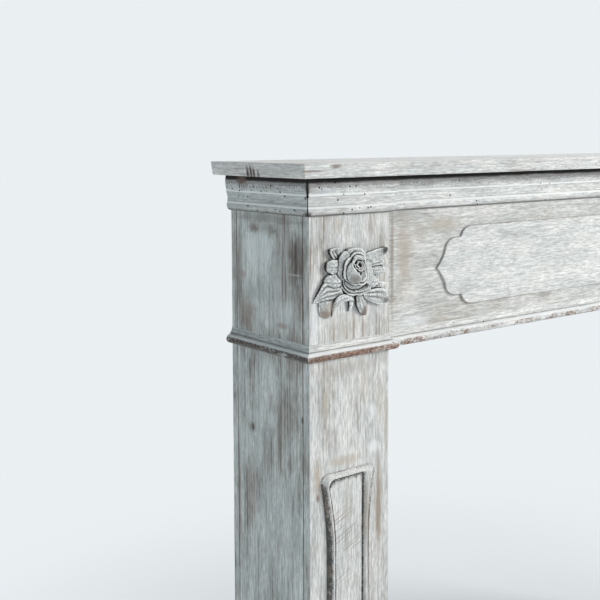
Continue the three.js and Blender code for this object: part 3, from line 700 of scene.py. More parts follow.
@cache
def moulding_tree():
    """Sweeps a closed profile along Z and mitres both ends. X of the profile points outwards."""
    inputs = [("Profile", "Geometry"), ("Length", "Float"), ("Start Mitre", "Float"), ("End Mitre", "Float"),
              ("Start Gap", "Float"), ("End Gap", "Float"), ("Step", "Float", RUN_STEP * MM),
              ("Waver", "Float", WAVER * MM), ("Seed", "Float"), ("Finish", "Material")]
    tree, n, given, result = new_group("mitred_moulding", "GeometryNodeTree", inputs, [("Mesh", "Geometry")])
    tree.is_modifier = True
    end = n.xyz(Z=given["Length"])
    line = n.add("GeometryNodeCurvePrimitiveLine", {"End": end}).outputs[0]
    run = n.add("GeometryNodeResampleCurve", {"Curve": line, "Length": given["Step"]}, mode="LENGTH")
    swept = {"Curve": run.outputs[0], "Profile Curve": given["Profile"], "Fill Caps": True}
    swept = n.add("GeometryNodeCurveToMesh", swept)
    swept = n.add("GeometryNodeFlipFaces", {"Mesh": swept.outputs[0]})
    place = n.add("GeometryNodeInputPosition").outputs[0]
    parts = n.split(place)
    share = n.math("DIVIDE", parts["Z"], given["Length"])
    start = n.minus(given["Start Gap"], n.times(given["Start Mitre"], parts["X"]))
    finish = n.minus(n.times(given["End Mitre"], parts["X"]), given["End Gap"])
    shear = n.plus(n.times(start, n.minus(1.0, share)), n.times(finish, share))
    seed = n.xyz(X=given["Seed"], Y=given["Seed"])
    grain = n.stretched(n.vector("ADD", place, seed), (1.0, 1.0, 0.25))
    wave = n.add("ShaderNodeTexNoise", {"Vector": grain, "Scale": 150.0, "Detail": 3.0})
    wave = n.vector("SUBTRACT", wave.outputs["Color"], (0.5, 0.5, 0.5))
    loose = n.times(n.span(parts["X"], 0.001, 0.005), given["Waver"])
    wave = n.add("ShaderNodeVectorMath", {0: wave, "Scale": n.times(loose, 2.0)}, operation="SCALE")
    wave = n.stretched(wave.outputs[0], (1.0, 1.0, 0.0))
    move = n.vector("ADD", wave, n.xyz(Z=shear))
    cut = n.add("GeometryNodeSetPosition", {"Geometry": swept.outputs[0], "Offset": move})
    solid = n.add("GeometryNodeRealizeInstances", {"Geometry": cut.outputs[0]})
    painted = n.add("GeometryNodeSetMaterial", {"Geometry": solid.outputs[0], "Material": given["Finish"]})
    n.feed(result["Mesh"], painted.outputs[0])
    return tree


@cache
def worm_hole_tree():
    """Drills small round holes at random places in the faces that look out from the board."""
    inputs = [("Mesh", "Geometry"), ("Density", "Float"), ("Seed", "Int"), ("Inside", "Material"),
              ("Radius", "Float", HOLE_RADIUS * MM), ("Depth", "Float", HOLE_DEPTH * MM)]
    tree, n, given, result = new_group("worm_holes", "GeometryNodeTree", inputs, [("Mesh", "Geometry")])
    tree.is_modifier = True
    normal = n.add("GeometryNodeInputNormal").outputs[0]
    outward = n.math("GREATER_THAN", n.split(normal)["X"], 0.45)
    drawn = {label: given[label] for label in ("Mesh", "Density", "Seed")}
    spread = n.add("GeometryNodeDistributePointsOnFaces", {**drawn, "Selection": outward})
    drill = {"Vertices": 7, "Radius": given["Radius"], "Depth": given["Depth"]}
    drill = n.add("GeometryNodeMeshCylinder", drill)
    size = n.random(0.75, 1.2, given["Seed"])
    placed = n.add("GeometryNodeInstanceOnPoints",
                   {"Points": spread.outputs["Points"], "Instance": drill.outputs["Mesh"],
                    "Rotation": spread.outputs["Rotation"], "Scale": size})
    drills = n.add("GeometryNodeRealizeInstances", {"Geometry": placed.outputs[0]})
    drills = n.add("GeometryNodeSetMaterial", {"Geometry": drills.outputs[0], "Material": given["Inside"]})
    holed = n.add("GeometryNodeMeshBoolean", operation="DIFFERENCE", solver="EXACT")
    n.feed(holed.inputs["Mesh 1"], given["Mesh"])
    n.feed(holed.inputs["Mesh 2"], drills.outputs[0])
    n.feed(result["Mesh"], holed.outputs["Mesh"])
    return tree


@cache
def pressed_band_tree():
    """A row of small raised arches with a stroke between them, laid on the curve of the moulding's band."""
    inputs = [("Mesh", "Geometry"), ("Spacing", "Float", PRESSED_SPACING * MM), ("Start", "Float", 0.006),
              ("Count", "Int", 5), ("Level", "Float", -0.0165), ("Radius", "Float", PRESSED_RADIUS * MM),
              ("Thickness", "Float", PRESSED_THICKNESS * MM), ("Seed", "Int"), ("Finish", "Material")]
    tree, n, given, result = new_group("pressed_band", "GeometryNodeTree", inputs, [("Mesh", "Geometry")])
    tree.is_modifier = True
    half_round = {"Resolution": 9, "Radius": given["Radius"], "Start Angle": math.pi, "Sweep Angle": -math.pi}
    arch = n.add("GeometryNodeCurveArc", half_round)
    legs = []
    for side in (-1.0, 1.0):
        x = n.times(given["Radius"], side)
        foot = n.xyz(X=x, Y=n.times(given["Radius"], -1.1))
        head = n.xyz(X=x)
        legs.append(n.add("GeometryNodeCurvePrimitiveLine", {"Start": foot, "End": head}).outputs[0])
    x = n.times(given["Radius"], 2.0)
    low = n.xyz(X=x, Y=n.times(given["Radius"], -1.1))
    high = n.xyz(X=x, Y=n.times(given["Radius"], 1.0))
    legs.append(n.add("GeometryNodeCurvePrimitiveLine", {"Start": low, "End": high}).outputs[0])
    motif = n.add("GeometryNodeJoinGeometry")
    for part in (arch.outputs["Curve"], *legs):
        n.feed(motif.inputs[0], part)
    ring = n.add("GeometryNodeCurvePrimitiveCircle", {"Resolution": 5, "Radius": given["Thickness"]})
    tube = {"Curve": motif.outputs[0], "Profile Curve": ring.outputs["Curve"], "Fill Caps": True}
    tube = n.add("GeometryNodeCurveToMesh", tube)
    turn = {"Geometry": tube.outputs[0], "Rotation": (0.0, -math.pi / 2, 0.0)}
    upright = n.add("GeometryNodeTransform", turn)
    first = n.xyz(Y=given["Level"], Z=given["Start"])
    stride = n.xyz(Z=given["Spacing"])
    row = n.add("GeometryNodeMeshLine", {"Count": given["Count"], "Start Location": first, "Offset": stride})
    wobble = n.random(0.86, 1.12, given["Seed"])
    placed = {"Points": row.outputs["Mesh"], "Instance": upright.outputs[0], "Scale": wobble}
    placed = n.add("GeometryNodeInstanceOnPoints", placed)
    marks = n.add("GeometryNodeRealizeInstances", {"Geometry": placed.outputs[0]})
    place = n.add("GeometryNodeInputPosition").outputs[0]
    parts = n.split(place)
    away = n.vector("ADD", place, (0.03, 0.0, 0.0))
    hit = n.add("GeometryNodeRaycast", {"Target Geometry": given["Mesh"], "Source Position": away,
                                        "Ray Direction": (-1.0, 0.0, 0.0), "Ray Length": 0.06})
    onto = n.split(hit.outputs["Hit Position"])["X"]
    laid = n.plus(onto, n.times(parts["X"], 0.6))
    spot = n.xyz(X=laid, Y=parts["Y"], Z=parts["Z"])
    laid = {"Geometry": marks.outputs[0], "Selection": hit.outputs["Is Hit"], "Position": spot}
    marks = n.add("GeometryNodeSetPosition", laid)
    marks = n.add("GeometryNodeSetMaterial", {"Geometry": marks.outputs[0], "Material": given["Finish"]})
    both = n.add("GeometryNodeJoinGeometry")
    n.feed(both.inputs[0], given["Mesh"])
    n.feed(both.inputs[0], marks.outputs[0])
    n.feed(result["Mesh"], both.outputs[0])
    return tree


def add_nodes(piece, tree, values):
    """Adds one of the trees above as a modifier, with its inputs set by their labels."""
    modifier = piece.modifiers.new(tree.name, "NODES")
    modifier.node_group = tree
    identifiers = {item.name: item.identifier for item in tree.interface.items_tree if item.in_out == "INPUT"}
    for label, value in values.items():
        modifier[identifiers[label]] = value


def evaluated_mesh(piece):
    """The plain mesh that a piece's modifiers make. The piece itself is taken away."""
    bpy.context.view_layer.update()
    graph = bpy.context.evaluated_depsgraph_get()
    mesh = bpy.data.meshes.new_from_object(piece.evaluated_get(graph), depsgraph=graph)
    bpy.data.objects.remove(piece)
    return mesh


def profile_object(points):
    """A closed outline, given in millimetres, as a curve."""
    curve = bpy.data.curves.new("profile", "CURVE")
    curve.dimensions = "2D"
    curve.fill_mode = "NONE"
    spline = curve.splines.new("POLY")
    spline.points.add(len(points) - 1)
    for point, (x, y) in zip(spline.points, points):
        point.co = (x * MM, y * MM, 0, 1)
    spline.use_cyclic_u = True
    holder = bpy.data.objects.new("profile", curve)
    SCENE.collection.objects.link(holder)
    return holder


MITRE = {"square": 0.0, "outside": 1.0, "inside": -1.0}


def moulding(node, profile, place, outward, length, materials, slot, start, end, gaps, seed,
             holes=0, band=False):
    """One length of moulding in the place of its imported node. `materials` are the finish of its face, that of
    the worm holes and mitred ends, and that of the pressed marks."""
    face, inside, marks = materials
    piece = profile_object(profile)
    add_nodes(piece, moulding_tree(), {
        "Length": length * MM, "Start Mitre": MITRE[start], "End Mitre": MITRE[end],
        "Start Gap": gaps[0] * MM, "End Gap": gaps[1] * MM, "Step": min(RUN_STEP, length / 3) * MM,
        "Seed": float(seed), "Finish": face})
    if holes:
        add_nodes(piece, worm_hole_tree(), {"Density": float(holes), "Seed": seed, "Inside": inside})
    if band:
        spare = 5
        count = max(1, int((length - spare) // PRESSED_SPACING))
        start_at = (length - (count - 1) * PRESSED_SPACING) / 2 - PRESSED_RADIUS
        values = {"Start": start_at * MM, "Count": count, "Seed": seed, "Finish": marks}
        add_nodes(piece, pressed_band_tree(), values)
    mesh = evaluated_mesh(piece)
    inside_index = mesh.materials.find(inside.name)
    if inside_index < 0:
        mesh.materials.append(inside)
        inside_index = len(mesh.materials) - 1
    smallest_end = 3e-5  # in square metres
    for polygon in mesh.polygons:
        at_start = polygon.center.z < length * MM / 2
        mitred = (start if at_start else end) != "square"
        if mitred and abs(polygon.normal.z) > 0.55 and polygon.area > smallest_end:
            polygon.material_index = inside_index
    out, up = Vector(outward), Vector((0, 0, 1))
    turn = Matrix((out, up, out.cross(up))).transposed().to_4x4()
    mesh.transform(Matrix.Translation(Vector(place) * MM) @ turn)
    for vertex in mesh.vertices:
        vertex.co.z = max(0.0, vertex.co.z)
    smooth(mesh, 38)
    return finished(node, mesh, [], slot)


def moulding_set(name, profile, top, corner_gap, finishes, inside, slot, holes, band=False):
    """The seven lengths round the legs and along the frieze, with one finish for each direction of run."""
    gap = MITRE_GAP / 2
    side = (finishes["Y"], inside, finishes["marks"])
    front = (finishes["X"], inside, finishes["marks"])
    west, east, south = (-1, 0, 0), (1, 0, 0), (0, -1, 0)
    step, out, into = FRIEZE_SETBACK, "outside", "inside"
    rows = [
        ("left_side", (-OUTER, FRONT), west, LEG_DEPTH, side, out, "square", (corner_gap / 2, 0)),
        ("left_front", (-INNER, FRONT), south, LEG_WIDTH, front, out, out, (gap, corner_gap / 2)),
        ("left_return", (-INNER, FRIEZE_FRONT), east, step, side, into, out, (gap, gap)),
        ("centre", (INNER, FRIEZE_FRONT), south, 2 * INNER, front, into, into, (gap, gap)),
        ("right_return", (INNER, FRONT), west, step, side, out, into, (gap, gap)),
        ("right_front", (OUTER, FRONT), south, LEG_WIDTH, front, out, out, (gap, gap)),
        ("right_side", (OUTER, WALL), east, LEG_DEPTH, side, "square", out, (0, gap)),
    ]
    for seed, (part, (x, y), outward, length, materials, start, end, gaps) in enumerate(rows, 3):
        short = length < 50
        moulding(f"{name}_{part}", profile, (x, y, top), outward, length, materials, slot, start, end, gaps,
                 seed, holes=0 if short else holes[part], band=band and not short)


# Panel and cartouche
def loft_mesh(loops):
    """Closed mesh through loops of [x, y, z] with equally many points, with a flat face on both ends."""
    count = len(loops[0])
    verts = [p for loop in loops for p in loop]
    quads = []
    for level in range(len(loops) - 1):
        for i in range(count):
            a, b = level * count + i, level * count + (i + 1) % count
            quads.append((a, b, b + count, a + count))
    quads.append(tuple(reversed(range(count))))
    quads.append(tuple(range((len(loops) - 1) * count, len(loops) * count)))
    mesh = bpy.data.meshes.new("loft")
    mesh.from_pydata([Vector(p) * MM for p in verts], [], quads)
    return mesh


def panel_flank(half_length, half_shoulder, half_waist, radius):
    """One side of the panel's outline, from its upper to its lower end, drawn in at the waist."""
    corner_steps, flank_steps, spring = 8, 44, 1.7
    flank, straight = half_length - radius, PANEL_WAIST_LENGTH / 2
    points = []
    for i in range(corner_steps):
        turn = math.pi / 2 * (1 - i / corner_steps)
        points.append((half_shoulder - radius + radius * math.cos(turn), flank + radius * math.sin(turn)))
    for i in range(flank_steps + 1):
        y = flank * (1 - 2 * i / flank_steps)
        swell = max(0.0, abs(y) - straight) / (flank - straight)
        points.append((half_waist + (half_shoulder - half_waist) * swell ** spring, y))
    for i in range(1, corner_steps + 1):
        turn = math.pi / 2 * i / corner_steps
        points.append((half_shoulder - radius + radius * math.cos(turn), -flank - radius * math.sin(turn)))
    return points


# Border of the panel from its rim to the field: share of the border's width, height over the leg's face in
# millimetres, and how dark the finish is there: grime, with painted shade on the outer slope and in the groove
# by the field
PANEL_BORDER = [
    (0.0, 0.0, 1.0), (0.0, 1.2, 1.0), (0.05, 2.3, 1.0), (0.17, 3.4, 0.9), (0.34, 5.6, 0.85),
    (0.48, 7.5, 0.5), (0.57, 8.0, 0.0), (0.66, 8.0, 0.0), (0.74, 7.3, 0.1), (0.80, 5.8, 0.7),
    (0.85, 3.9, 1.0), (0.92, 3.5, 1.0), (1.0, 4.6, 0.8),
]


def leg_panel(side, outward, material):
    """Raised panel of one leg: a moulded border round a field that is waisted on its outer side only."""
    half = PANEL_LENGTH / 2
    wide, narrow, border = PANEL_HALF_SHOULDER, PANEL_HALF_WAIST, PANEL_RIM_WIDTH
    within, shaped, slim = half - border["ends"], border["shaped"], narrow - border["straight"]
    rim = panel_flank(half, wide, narrow, PANEL_CORNER)
    waisted = panel_flank(within, wide - shaped, narrow - shaped, PANEL_CORNER)
    straight = panel_flank(within, slim, slim, 2)

    def loop(east, west):
        return [(-x, y) for x, y in west] + [(x, y) for x, y in reversed(east)]

    outer = loop(rim, rim)
    field = loop(straight, waisted) if outward < 0 else loop(waisted, straight)
    centre_x = outward * (OUTER - LEG_WIDTH / 2 + PANEL_OFF_CENTRE)
    centre_z = ASTRAGAL_UNDERSIDE - PANEL_TOP_GAP - half
    rings = [[(a + (c - a) * inward, b + (d - b) * inward, rise) for (a, b), (c, d) in zip(outer, field)]
             for inward, rise, _ in PANEL_BORDER]
    centre = sum(x for x, _ in field) / len(field)
    for shrink in (0.965, 0.90, 0.7):
        rings.append([(centre + (x - centre) * shrink, y * shrink, PANEL_FIELD_RISE) for x, y in field])
    loops = []
    for ring in rings:
        row = []
        for x, y, rise in ring:
            dent = 0.25 * noise.noise(Vector((x * 0.09, y * 0.05, rise * 0.3 + outward))) if rise > 4 else 0
            row.append((centre_x + x, FRONT - max(0.0, rise + dent), centre_z + y))
        loops.append(row)
    mesh = loft_mesh(loops)
    ridge = [1.0 if 4 <= level <= 8 else 0.25 for level in range(len(loops))]
    add_values(mesh, "arris", [ridge[i // len(outer)] * 0.8 for i in range(len(mesh.vertices))])
    deep = [dirt_and_shade for *_, dirt_and_shade in PANEL_BORDER] + [0.45, 0.0, 0.0]
    # Painted shade: the dark of the border is fullest on its flank towards -X, less on its flank towards +X and
    # its lower end, and least on its upper end, which faces the lamps
    dirt_and_shade = []
    for i, (x, y) in enumerate(outer * len(loops)):
        level = i // len(outer)
        shaded = 1.0 if x < 0 else 0.7
        at_end = abs(y) > half - PANEL_CORNER
        if at_end and level > 2:
            shaded = 0.35 if y > 0 else 0.6
        elif at_end and y > 0:
            shaded = 0.6
        towards_hearth = x * outward < 0
        inner = 0.55 if towards_hearth and level < 10 else 1.0
        dirt_and_shade.append(deep[level] * (shaded if level < 8 else inner))
    add_values(mesh, "hollow", dirt_and_shade)
    smooth(mesh, 50)
    return finished(f"{side}_leg_panel", mesh, [material], "whitewashed_pine")


def cartouche_quarter():
    """A quarter of the cartouche's outline: pointed tip, round lobe, hollow shoulder and straight edge."""
    half = CARTOUCHE_LENGTH / 2
    tip, lobe, shoulder = 20, 34, 24
    tip_high, lobe_high, body_high = 31, 45.6, CARTOUCHE_HALF_HEIGHT
    lobe_start = half - tip
    lobe_end = lobe_start - lobe
    body_start = lobe_end - shoulder

    def curve(pulls, steps):
        return [bezier(*pulls, i / steps) for i in range(1, steps + 1)]

    ends = (lobe_end, lobe_high), (body_start, body_high)
    pull = (lobe_end - shoulder * 0.2, body_high)
    mid = [tuple(a + (b - a) * 2 / 3 for a, b in zip(p, pull)) for p in ends]
    points = [(half, 0)]
    points += curve([(half, 0), (half - tip * 0.45, tip_high * 0.25), (half - tip * 0.85, tip_high * 0.6),
                     (lobe_start, tip_high)], 14)
    points += curve([(lobe_start, tip_high), (lobe_start - lobe * 0.06, lobe_high * 0.88),
                     (lobe_start - lobe * 0.35, lobe_high), (lobe_start - lobe * 0.7, lobe_high)], 12)
    points.append(ends[0])
    points += curve([ends[0], *mid, ends[1]], 10)
    points += [(body_start * (1 - i / 24), body_high) for i in range(1, 25)]
    return points


def cartouche(material):
    """The flat shaped plate on the frieze."""
    quarter = cartouche_quarter()
    outline = quarter + [(-x, y) for x, y in reversed(quarter[:-1])]
    outline += [(-x, -y) for x, y in quarter[1:]] + [(x, -y) for x, y in reversed(quarter[1:-1])]
    centre_z = BLOCK_TOP - BLOCK_HEIGHT / 2 - CARTOUCHE_DROP
    half, high = CARTOUCHE_LENGTH / 2, CARTOUCHE_HALF_HEIGHT
    loops = []
    rings = ((0, 0), (0, 2.4), (0.3, 3.1), (0.9, 3.5), (1.8, 3.6), (6.0, 3.6))
    for inset, rise in rings:
        loops.append([(x * (half - inset) / half, FRIEZE_FRONT - rise, centre_z + z * (high - inset) / high)
                      for x, z in outline])
    mesh = loft_mesh(loops)
    # The `hollow` value darkens the plate's edge towards its foot: painted shadow where the plate stands off
    # the frieze
    by_ring = {"arris": (0.3, 1.0, 1.0, 0.9, 0.5, 0.0), "hollow": (1.0, 0.75, 0.35, 0.1, 0.0, 0.0)}
    for name, values in by_ring.items():
        add_values(mesh, name, np.repeat(values, len(outline)))
    smooth(mesh, 50)
    return finished("frieze_cartouche", mesh, [material], "whitewashed_pine")


# Rose
HEAD, HEART, BUD = (2, 8), (-1, 10), (1.5, 16)

# Rims of the flower head, its heart and its bud: angle round their centre, and reach
HEAD_RIM = [(171, 25.3), (141, 28.2), (124, 28.6), (101, 25.6), (69, 25.6), (47, 23.6), (5, 22.4),
            (-23, 27.5), (-49, 30.5), (-69, 27.9), (-101, 25.5), (-137, 24.8), (-164, 25)]
HEART_RIM = [(206, 20), (173, 17.2), (137, 17.8), (109, 19), (73, 20), (43, 19.2), (-3, 17.2), (-34, 21.5),
             (-63, 20.5), (-96, 18), (-133, 17.8)]
BUD_RIM = [(171, 13.5), (133, 12.4), (87, 10.2), (39, 9.8), (-6, 9.6), (-51, 10.2), (-82, 11), (-130, 9)]

# Petals round a centre: centre, rim, first and last angle, share of the rim's reach at the inner and outer
# edge, height at both edges, and how far the petal is hollowed between them
RING_PETALS = [
    (HEAD, HEAD_RIM, (112, 204), (0.55, 1.0), (11.2, 7.4), -0.6),
    (HEAD, HEAD_RIM, (190, 288), (0.50, 1.0), (3.4, 6.8), 0.1),
    (HEAD, HEAD_RIM, (204, 276), (0.62, 0.90), (2.8, 9.4), 0.9),
    (HEAD, HEAD_RIM, (262, 344), (0.50, 1.0), (4.4, 7.0), 0.2),
    (HEAD, HEAD_RIM, (266, 326), (0.62, 0.86), (4.0, 9.0), 0.8),
    (HEAD, HEAD_RIM, (318, 406), (0.55, 1.06), (10.6, 6.6), -0.4),
    (HEAD, HEAD_RIM, (36, 122), (0.55, 1.0), (11.0, 7.2), -0.5),
    (HEART, HEART_RIM, (112, 210), (0.45, 1.0), (12.2, 11.8), 0.3),
    (HEART, HEART_RIM, (196, 300), (0.45, 0.88), (9.4, 10.4), 0.3),
    (HEART, HEART_RIM, (284, 396), (0.40, 1.0), (10.6, 11.6), 0.9),
    (HEART, HEART_RIM, (290, 372), (0.40, 0.78), (12.0, 12.8), 0.6),
    (HEART, HEART_RIM, (20, 126), (0.40, 1.0), (12.0, 11.8), 0.5),
    (BUD, BUD_RIM, (-60, 140), (0.60, 1.0), (13.0, 14.2), 0.3),
    (BUD, BUD_RIM, (40, 220), (0.55, 0.86), (13.6, 15.0), 0.3),
    (BUD, BUD_RIM, (170, 400), (0.35, 0.64), (14.0, 15.6), 0.3),
    (BUD, BUD_RIM, (10, 280), (0.15, 0.38), (13.6, 15.8), 0.2),
]

# Leaves: start, end, bow, width, neck, heights, droop, tilt, point
LEAVES = [
    ((-18, 14), (-36, 16), 0, 15, 0.7, (6, 7.6, 5.4), 1.8, 0, 0.35),
    ((-16, -2), (-39, 0), 1, 18, 0.8, (6.5, 7.6, 4.2), 2.6, 1.2, 0.5),
    ((0, -21.5), (-27, -38), -10.5, 10, 0.6, (6, 7.6, 3), 1.6, 0.5, 0.5),
    ((-4, -20), (-3, -35), 2.5, 5, 0.8, (4.5, 4, 2.4), 0.8, 0, 0.4),
    ((9, -16), (20, -41), -1, 13, 0.6, (6, 5.8, 3.4), 2.4, 0.4, 0.4),
    ((22, -12), (51, -9), 0, 8, 0.7, (5, 4, 2.4), 1, 0, 0.8),
    ((18, -5), (38, -6), 0, 15, 0.7, (7, 6.6, 4.4), 2.4, 0, 0.3),
    ((22, 7), (47.5, 6.5), 0, 11.5, 0.7, (6.5, 5.4, 5), 2.6, 0, 0.25),
    ((22, 14), (45.5, 15), 0, 9.5, 0.7, (6.5, 5.0, 4.8), 2.2, 0, 0.25),
]

# Free forms: rows from base to tip, each from the left edge to the right edge, [x, y, height]; then how deep
# the furrows are and how many
FREE_FORMS = {
    "wrapped_petal": ([
        [(-10, 19, 13.4), (-12.5, 16.5, 13.4), (-14.5, 13, 12.2)],
        [(-6.5, 13, 15.4), (-10.5, 9.5, 14.6), (-15, 7, 12.4)],
        [(-2.5, 8.5, 15.8), (-7, 4.5, 15.2), (-12.5, 1, 12.0)],
        [(1.2, 5.2, 15.4), (-2.8, 1.5, 14.6), (-7.5, -2.8, 11.4)],
        [(4.4, 3.0, 14.4), (1.4, -0.5, 13.4), (-1, -4, 10.8)],
        [(6.6, 0.6, 12.6), (5.6, -1.6, 12.0), (4.4, -3.6, 10.8)]], 0.0, 0),
    "curled_leaf": ([
        [(-22, 19, 3), (-19, 20, 4), (-15, 22, 5)],
        [(-27.5, 25, 3.8), (-22, 26, 3.6), (-15, 27, 5.4)],
        [(-31.5, 30.5, 5.4), (-25, 31, 4.2), (-16.5, 31.5, 6)],
        [(-31, 34, 6), (-25, 35, 6.6), (-17, 34.5, 6)]], 0.25, 3),
    "broad_leaf": ([
        [(-14, -15, 5), (-16, -11, 6), (-19, -5, 5.6)],
        [(-22, -20, 3.4), (-26, -12, 6.4), (-29, -3.5, 5.6)],
        [(-33, -21.5, 2.6), (-36, -12, 5.6), (-38.5, -1, 5.0)],
        [(-43, -21.5, 2.0), (-44, -15, 4.2), (-45.5, -9.5, 4.2)],
        [(-51, -21.5, 1.2), (-51.5, -20.5, 1.6), (-51.5, -19.5, 1.8)]], 0.42, 4),
    "brown_leaf": ([
        [(-24, -22, 2.6), (-34, -21, 3.4), (-44.5, -20, 1.6)],
        [(-24.5, -30, 2.4), (-34, -30, 3.4), (-44, -30, 1.4)],
        [(-26, -38, 1.6), (-33, -39.2, 2.0), (-41.5, -36.5, 1.0)]], 0.2, 3),
    "lower_leaf": ([
        [(14, -14, 6), (14, -18, 6.6), (15, -22, 5)],
        [(24, -13.5, 6.6), (24, -19, 6.2), (25, -26.5, 4.6)],
        [(35, -13, 6.4), (35, -21, 5.4), (34, -30, 4.0)],
        [(46, -15.5, 5.4), (45, -24, 4.4), (43, -32, 3.6)],
        [(52, -24, 4.4), (52.5, -27, 4.2), (52, -30, 3.8)]], 0.3, 3),
    "high_leaf": ([
        [(12, 25, 7.6), (13, 20, 8.6), (14, 14, 7.5)],
        [(24, 27.5, 6.6), (25, 21.5, 7.0), (26, 14.5, 6.6)],
        [(34, 29.5, 6.0), (35, 23, 5.4), (36, 15.5, 6.0)],
        [(42, 30.5, 6.4), (43, 25.5, 5.6), (43.5, 19.5, 5.6)],
        [(46.5, 31.5, 7.6), (48, 29.5, 7.6), (48, 26, 6.8)]], 0.3, 1),
}


def relief(top):
    """Vertices and faces of the solid under a grid of top points, with a flat back at height 0."""
    rows, columns = len(top), len(top[0])
    verts = [p for row in top for p in row] + [(x, y, 0.0) for row in top for x, y, _ in row]

    def at(layer, r, c):
        return (layer * rows + r) * columns + c

    quads = []
    for r in range(rows - 1):
        for c in range(columns - 1):
            quads.append((at(0, r, c), at(0, r, c + 1), at(0, r + 1, c + 1), at(0, r + 1, c)))
            quads.append((at(1, r, c), at(1, r + 1, c), at(1, r + 1, c + 1), at(1, r, c + 1)))
        quads.append((at(0, r, 0), at(0, r + 1, 0), at(1, r + 1, 0), at(1, r, 0)))
        e = columns - 1
        quads.append((at(0, r + 1, e), at(0, r, e), at(1, r, e), at(1, r + 1, e)))
    for c in range(columns - 1):
        quads.append((at(0, 0, c + 1), at(0, 0, c), at(1, 0, c), at(1, 0, c + 1)))
        e = rows - 1
        quads.append((at(0, e, c), at(0, e, c + 1), at(1, e, c + 1), at(1, e, c)))
    return verts, quads


def blend_value(a, b, share):
    return a + (b - a) * share


def rim_reach(rim, angle):
    """Reach of a rim at an angle in degrees, from its few measured points."""
    known = sorted((a % 360, r) for a, r in rim)
    angles = [known[-1][0] - 360] + [a for a, _ in known] + [known[0][0] + 360]
    reaches = [known[-1][1]] + [r for _, r in known] + [known[0][1]]
    return float(np.interp(angle % 360, angles, reaches))


def ring_petal(centre, rim, turn, reach, rise, hollow):
    """A petal that goes part of the way round a centre."""
    around, across = max(12, round((turn[1] - turn[0]) / 4)), 12
    grid = []
    for i in range(around + 1):
        end = abs(2 * i / around - 1) ** 4
        degrees = blend_value(*turn, i / around)
        angle = math.radians(degrees)
        full = rim_reach(rim, degrees)
        ripple = 0.3 * math.sin(angle * 5.0 + centre[0] + reach[1] * 40)
        row = []
        for j in range(across + 1):
            share = j / across
            outer = full * (reach[1] - end * (reach[1] - reach[0]) * 0.35) + ripple
            radius = blend_value(full * reach[0], outer, share)
            height = blend_value(rise[0], rise[1], share) - hollow * math.sin(share * math.pi) - end * 0.9
            height -= 0.5 * max(0.0, (share - 0.88) / 0.12) ** 2
            height += 0.07 * math.sin(degrees * 0.9 + share) * share
            row.append((centre[0] + radius * math.cos(angle), centre[1] + radius * math.sin(angle), height))
        grid.append(row)
    return relief(grid)


def spread_points(points, steps):
    """Smooth curve through the points along axis 0, with `steps` stretches between each two of them."""
    padded = np.concatenate([2 * points[:1] - points[1:2], points, 2 * points[-1:] - points[-2:-1]])
    rows = []
    for k in range(len(points) - 1):
        a, b, c, d = padded[k:k + 4]
        for i in range(steps):
            t = i / steps
            rows.append(0.5 * (2 * b + (c - a) * t + (2 * a - 5 * b + 4 * c - d) * t * t
                               + (3 * b - a - 3 * c + d) * t ** 3))
    rows.append(points[-1])
    return np.array(rows)


def free_form(rows, fold, folds):
    """A leaf or petal through a few measured points, with `folds` shallow furrows along it."""
    net = spread_points(np.array(rows, float), 8)
    net = spread_points(net.transpose(1, 0, 2), 8).transpose(1, 0, 2)
    grid = []
    last = len(net) - 1
    for i, row in enumerate(net):
        line = []
        strength = math.sin(math.pi * min(1, i / last + 0.1))
        for j, (x, y, height) in enumerate(row):
            v = 2 * j / (len(row) - 1) - 1
            height += fold * math.cos((v + 0.25 * i / last) * math.pi * folds) * strength
            line.append((float(x), float(y), max(0.4, float(height))))
        grid.append(line)
    return relief(grid)


def leaf(start, end, bow, width, neck, rise, droop, tilt, point):
    """A leaf along a bowed line, with a furrowed midrib and faint veins."""
    along, across = 30, 14
    widest, thinnest = 0.45, 0.4
    way = Vector((end[0] - start[0], end[1] - start[1]))
    left = Vector((-way.y, way.x)).normalized()
    grid = []
    for i in range(along + 1):
        u = i / along
        swing = 4 * bow * u * (1 - u)
        x = start[0] + way.x * u + left.x * swing
        y = start[1] + way.y * u + left.y * swing
        taper = max(0.02, 1 - max(0.0, (u - widest) / (1 - widest)) ** 2) ** point
        swell = blend_value(neck, 1, math.sin(math.pi / 2 * u / widest)) if u < widest else taper
        swell *= 1 + 0.035 * math.sin(u * 19 + width)
        crest = (1 - u) * (1 - 2 * u) * rise[0] + 4 * u * (1 - u) * rise[1] + u * (2 * u - 1) * rise[2]
        row = []
        for j in range(across + 1):
            v = 2 * j / across - 1
            aside = v * swell * width / 2
            height = crest - droop * v * v + tilt * v
            if width > 7:
                rib = math.exp(-(v / 0.10) ** 2) * (1 - u * 0.5)
                vein = math.sin((u * 1.4 - abs(v) * 0.55) * 15) * min(1, abs(v) * 3) * (1 - abs(v) ** 4)
                height += -0.6 * rib + 0.10 * vein
            row.append((x - left.x * aside, y - left.y * aside, max(thinnest, height)))
        grid.append(row)
    return relief(grid)


def rose_core():
    """Low dome under the petals, as a grid of rings."""
    radius, high, rings, sides = 23, 11, 10, 36
    verts = [(HEAD[0], HEAD[1], high)]
    quads = []
    for r in range(1, rings + 1):
        lift = math.pi / 2 * (1 - r / rings)
        for s in range(sides):
            a = 2 * math.pi * s / sides
            verts.append((HEAD[0] + radius * math.cos(lift) * math.cos(a),
                          HEAD[1] + radius * math.cos(lift) * math.sin(a), high * math.sin(lift)))
    for s in range(sides):
        quads.append((0, 1 + s, 1 + (s + 1) % sides))
        for r in range(rings - 1):
            a, b = 1 + r * sides + s, 1 + r * sides + (s + 1) % sides
            quads.append((a, a + sides, b + sides, b))
    quads.append(tuple(reversed(range(1 + (rings - 1) * sides, 1 + rings * sides))))
    return verts, quads


def read(items, name, columns, kind=np.float64):
    """One value of all vertices or edges of a mesh, as rows."""
    values = np.empty(len(items) * columns, kind)
    items.foreach_get(name, values)
    return values.reshape(-1, columns)


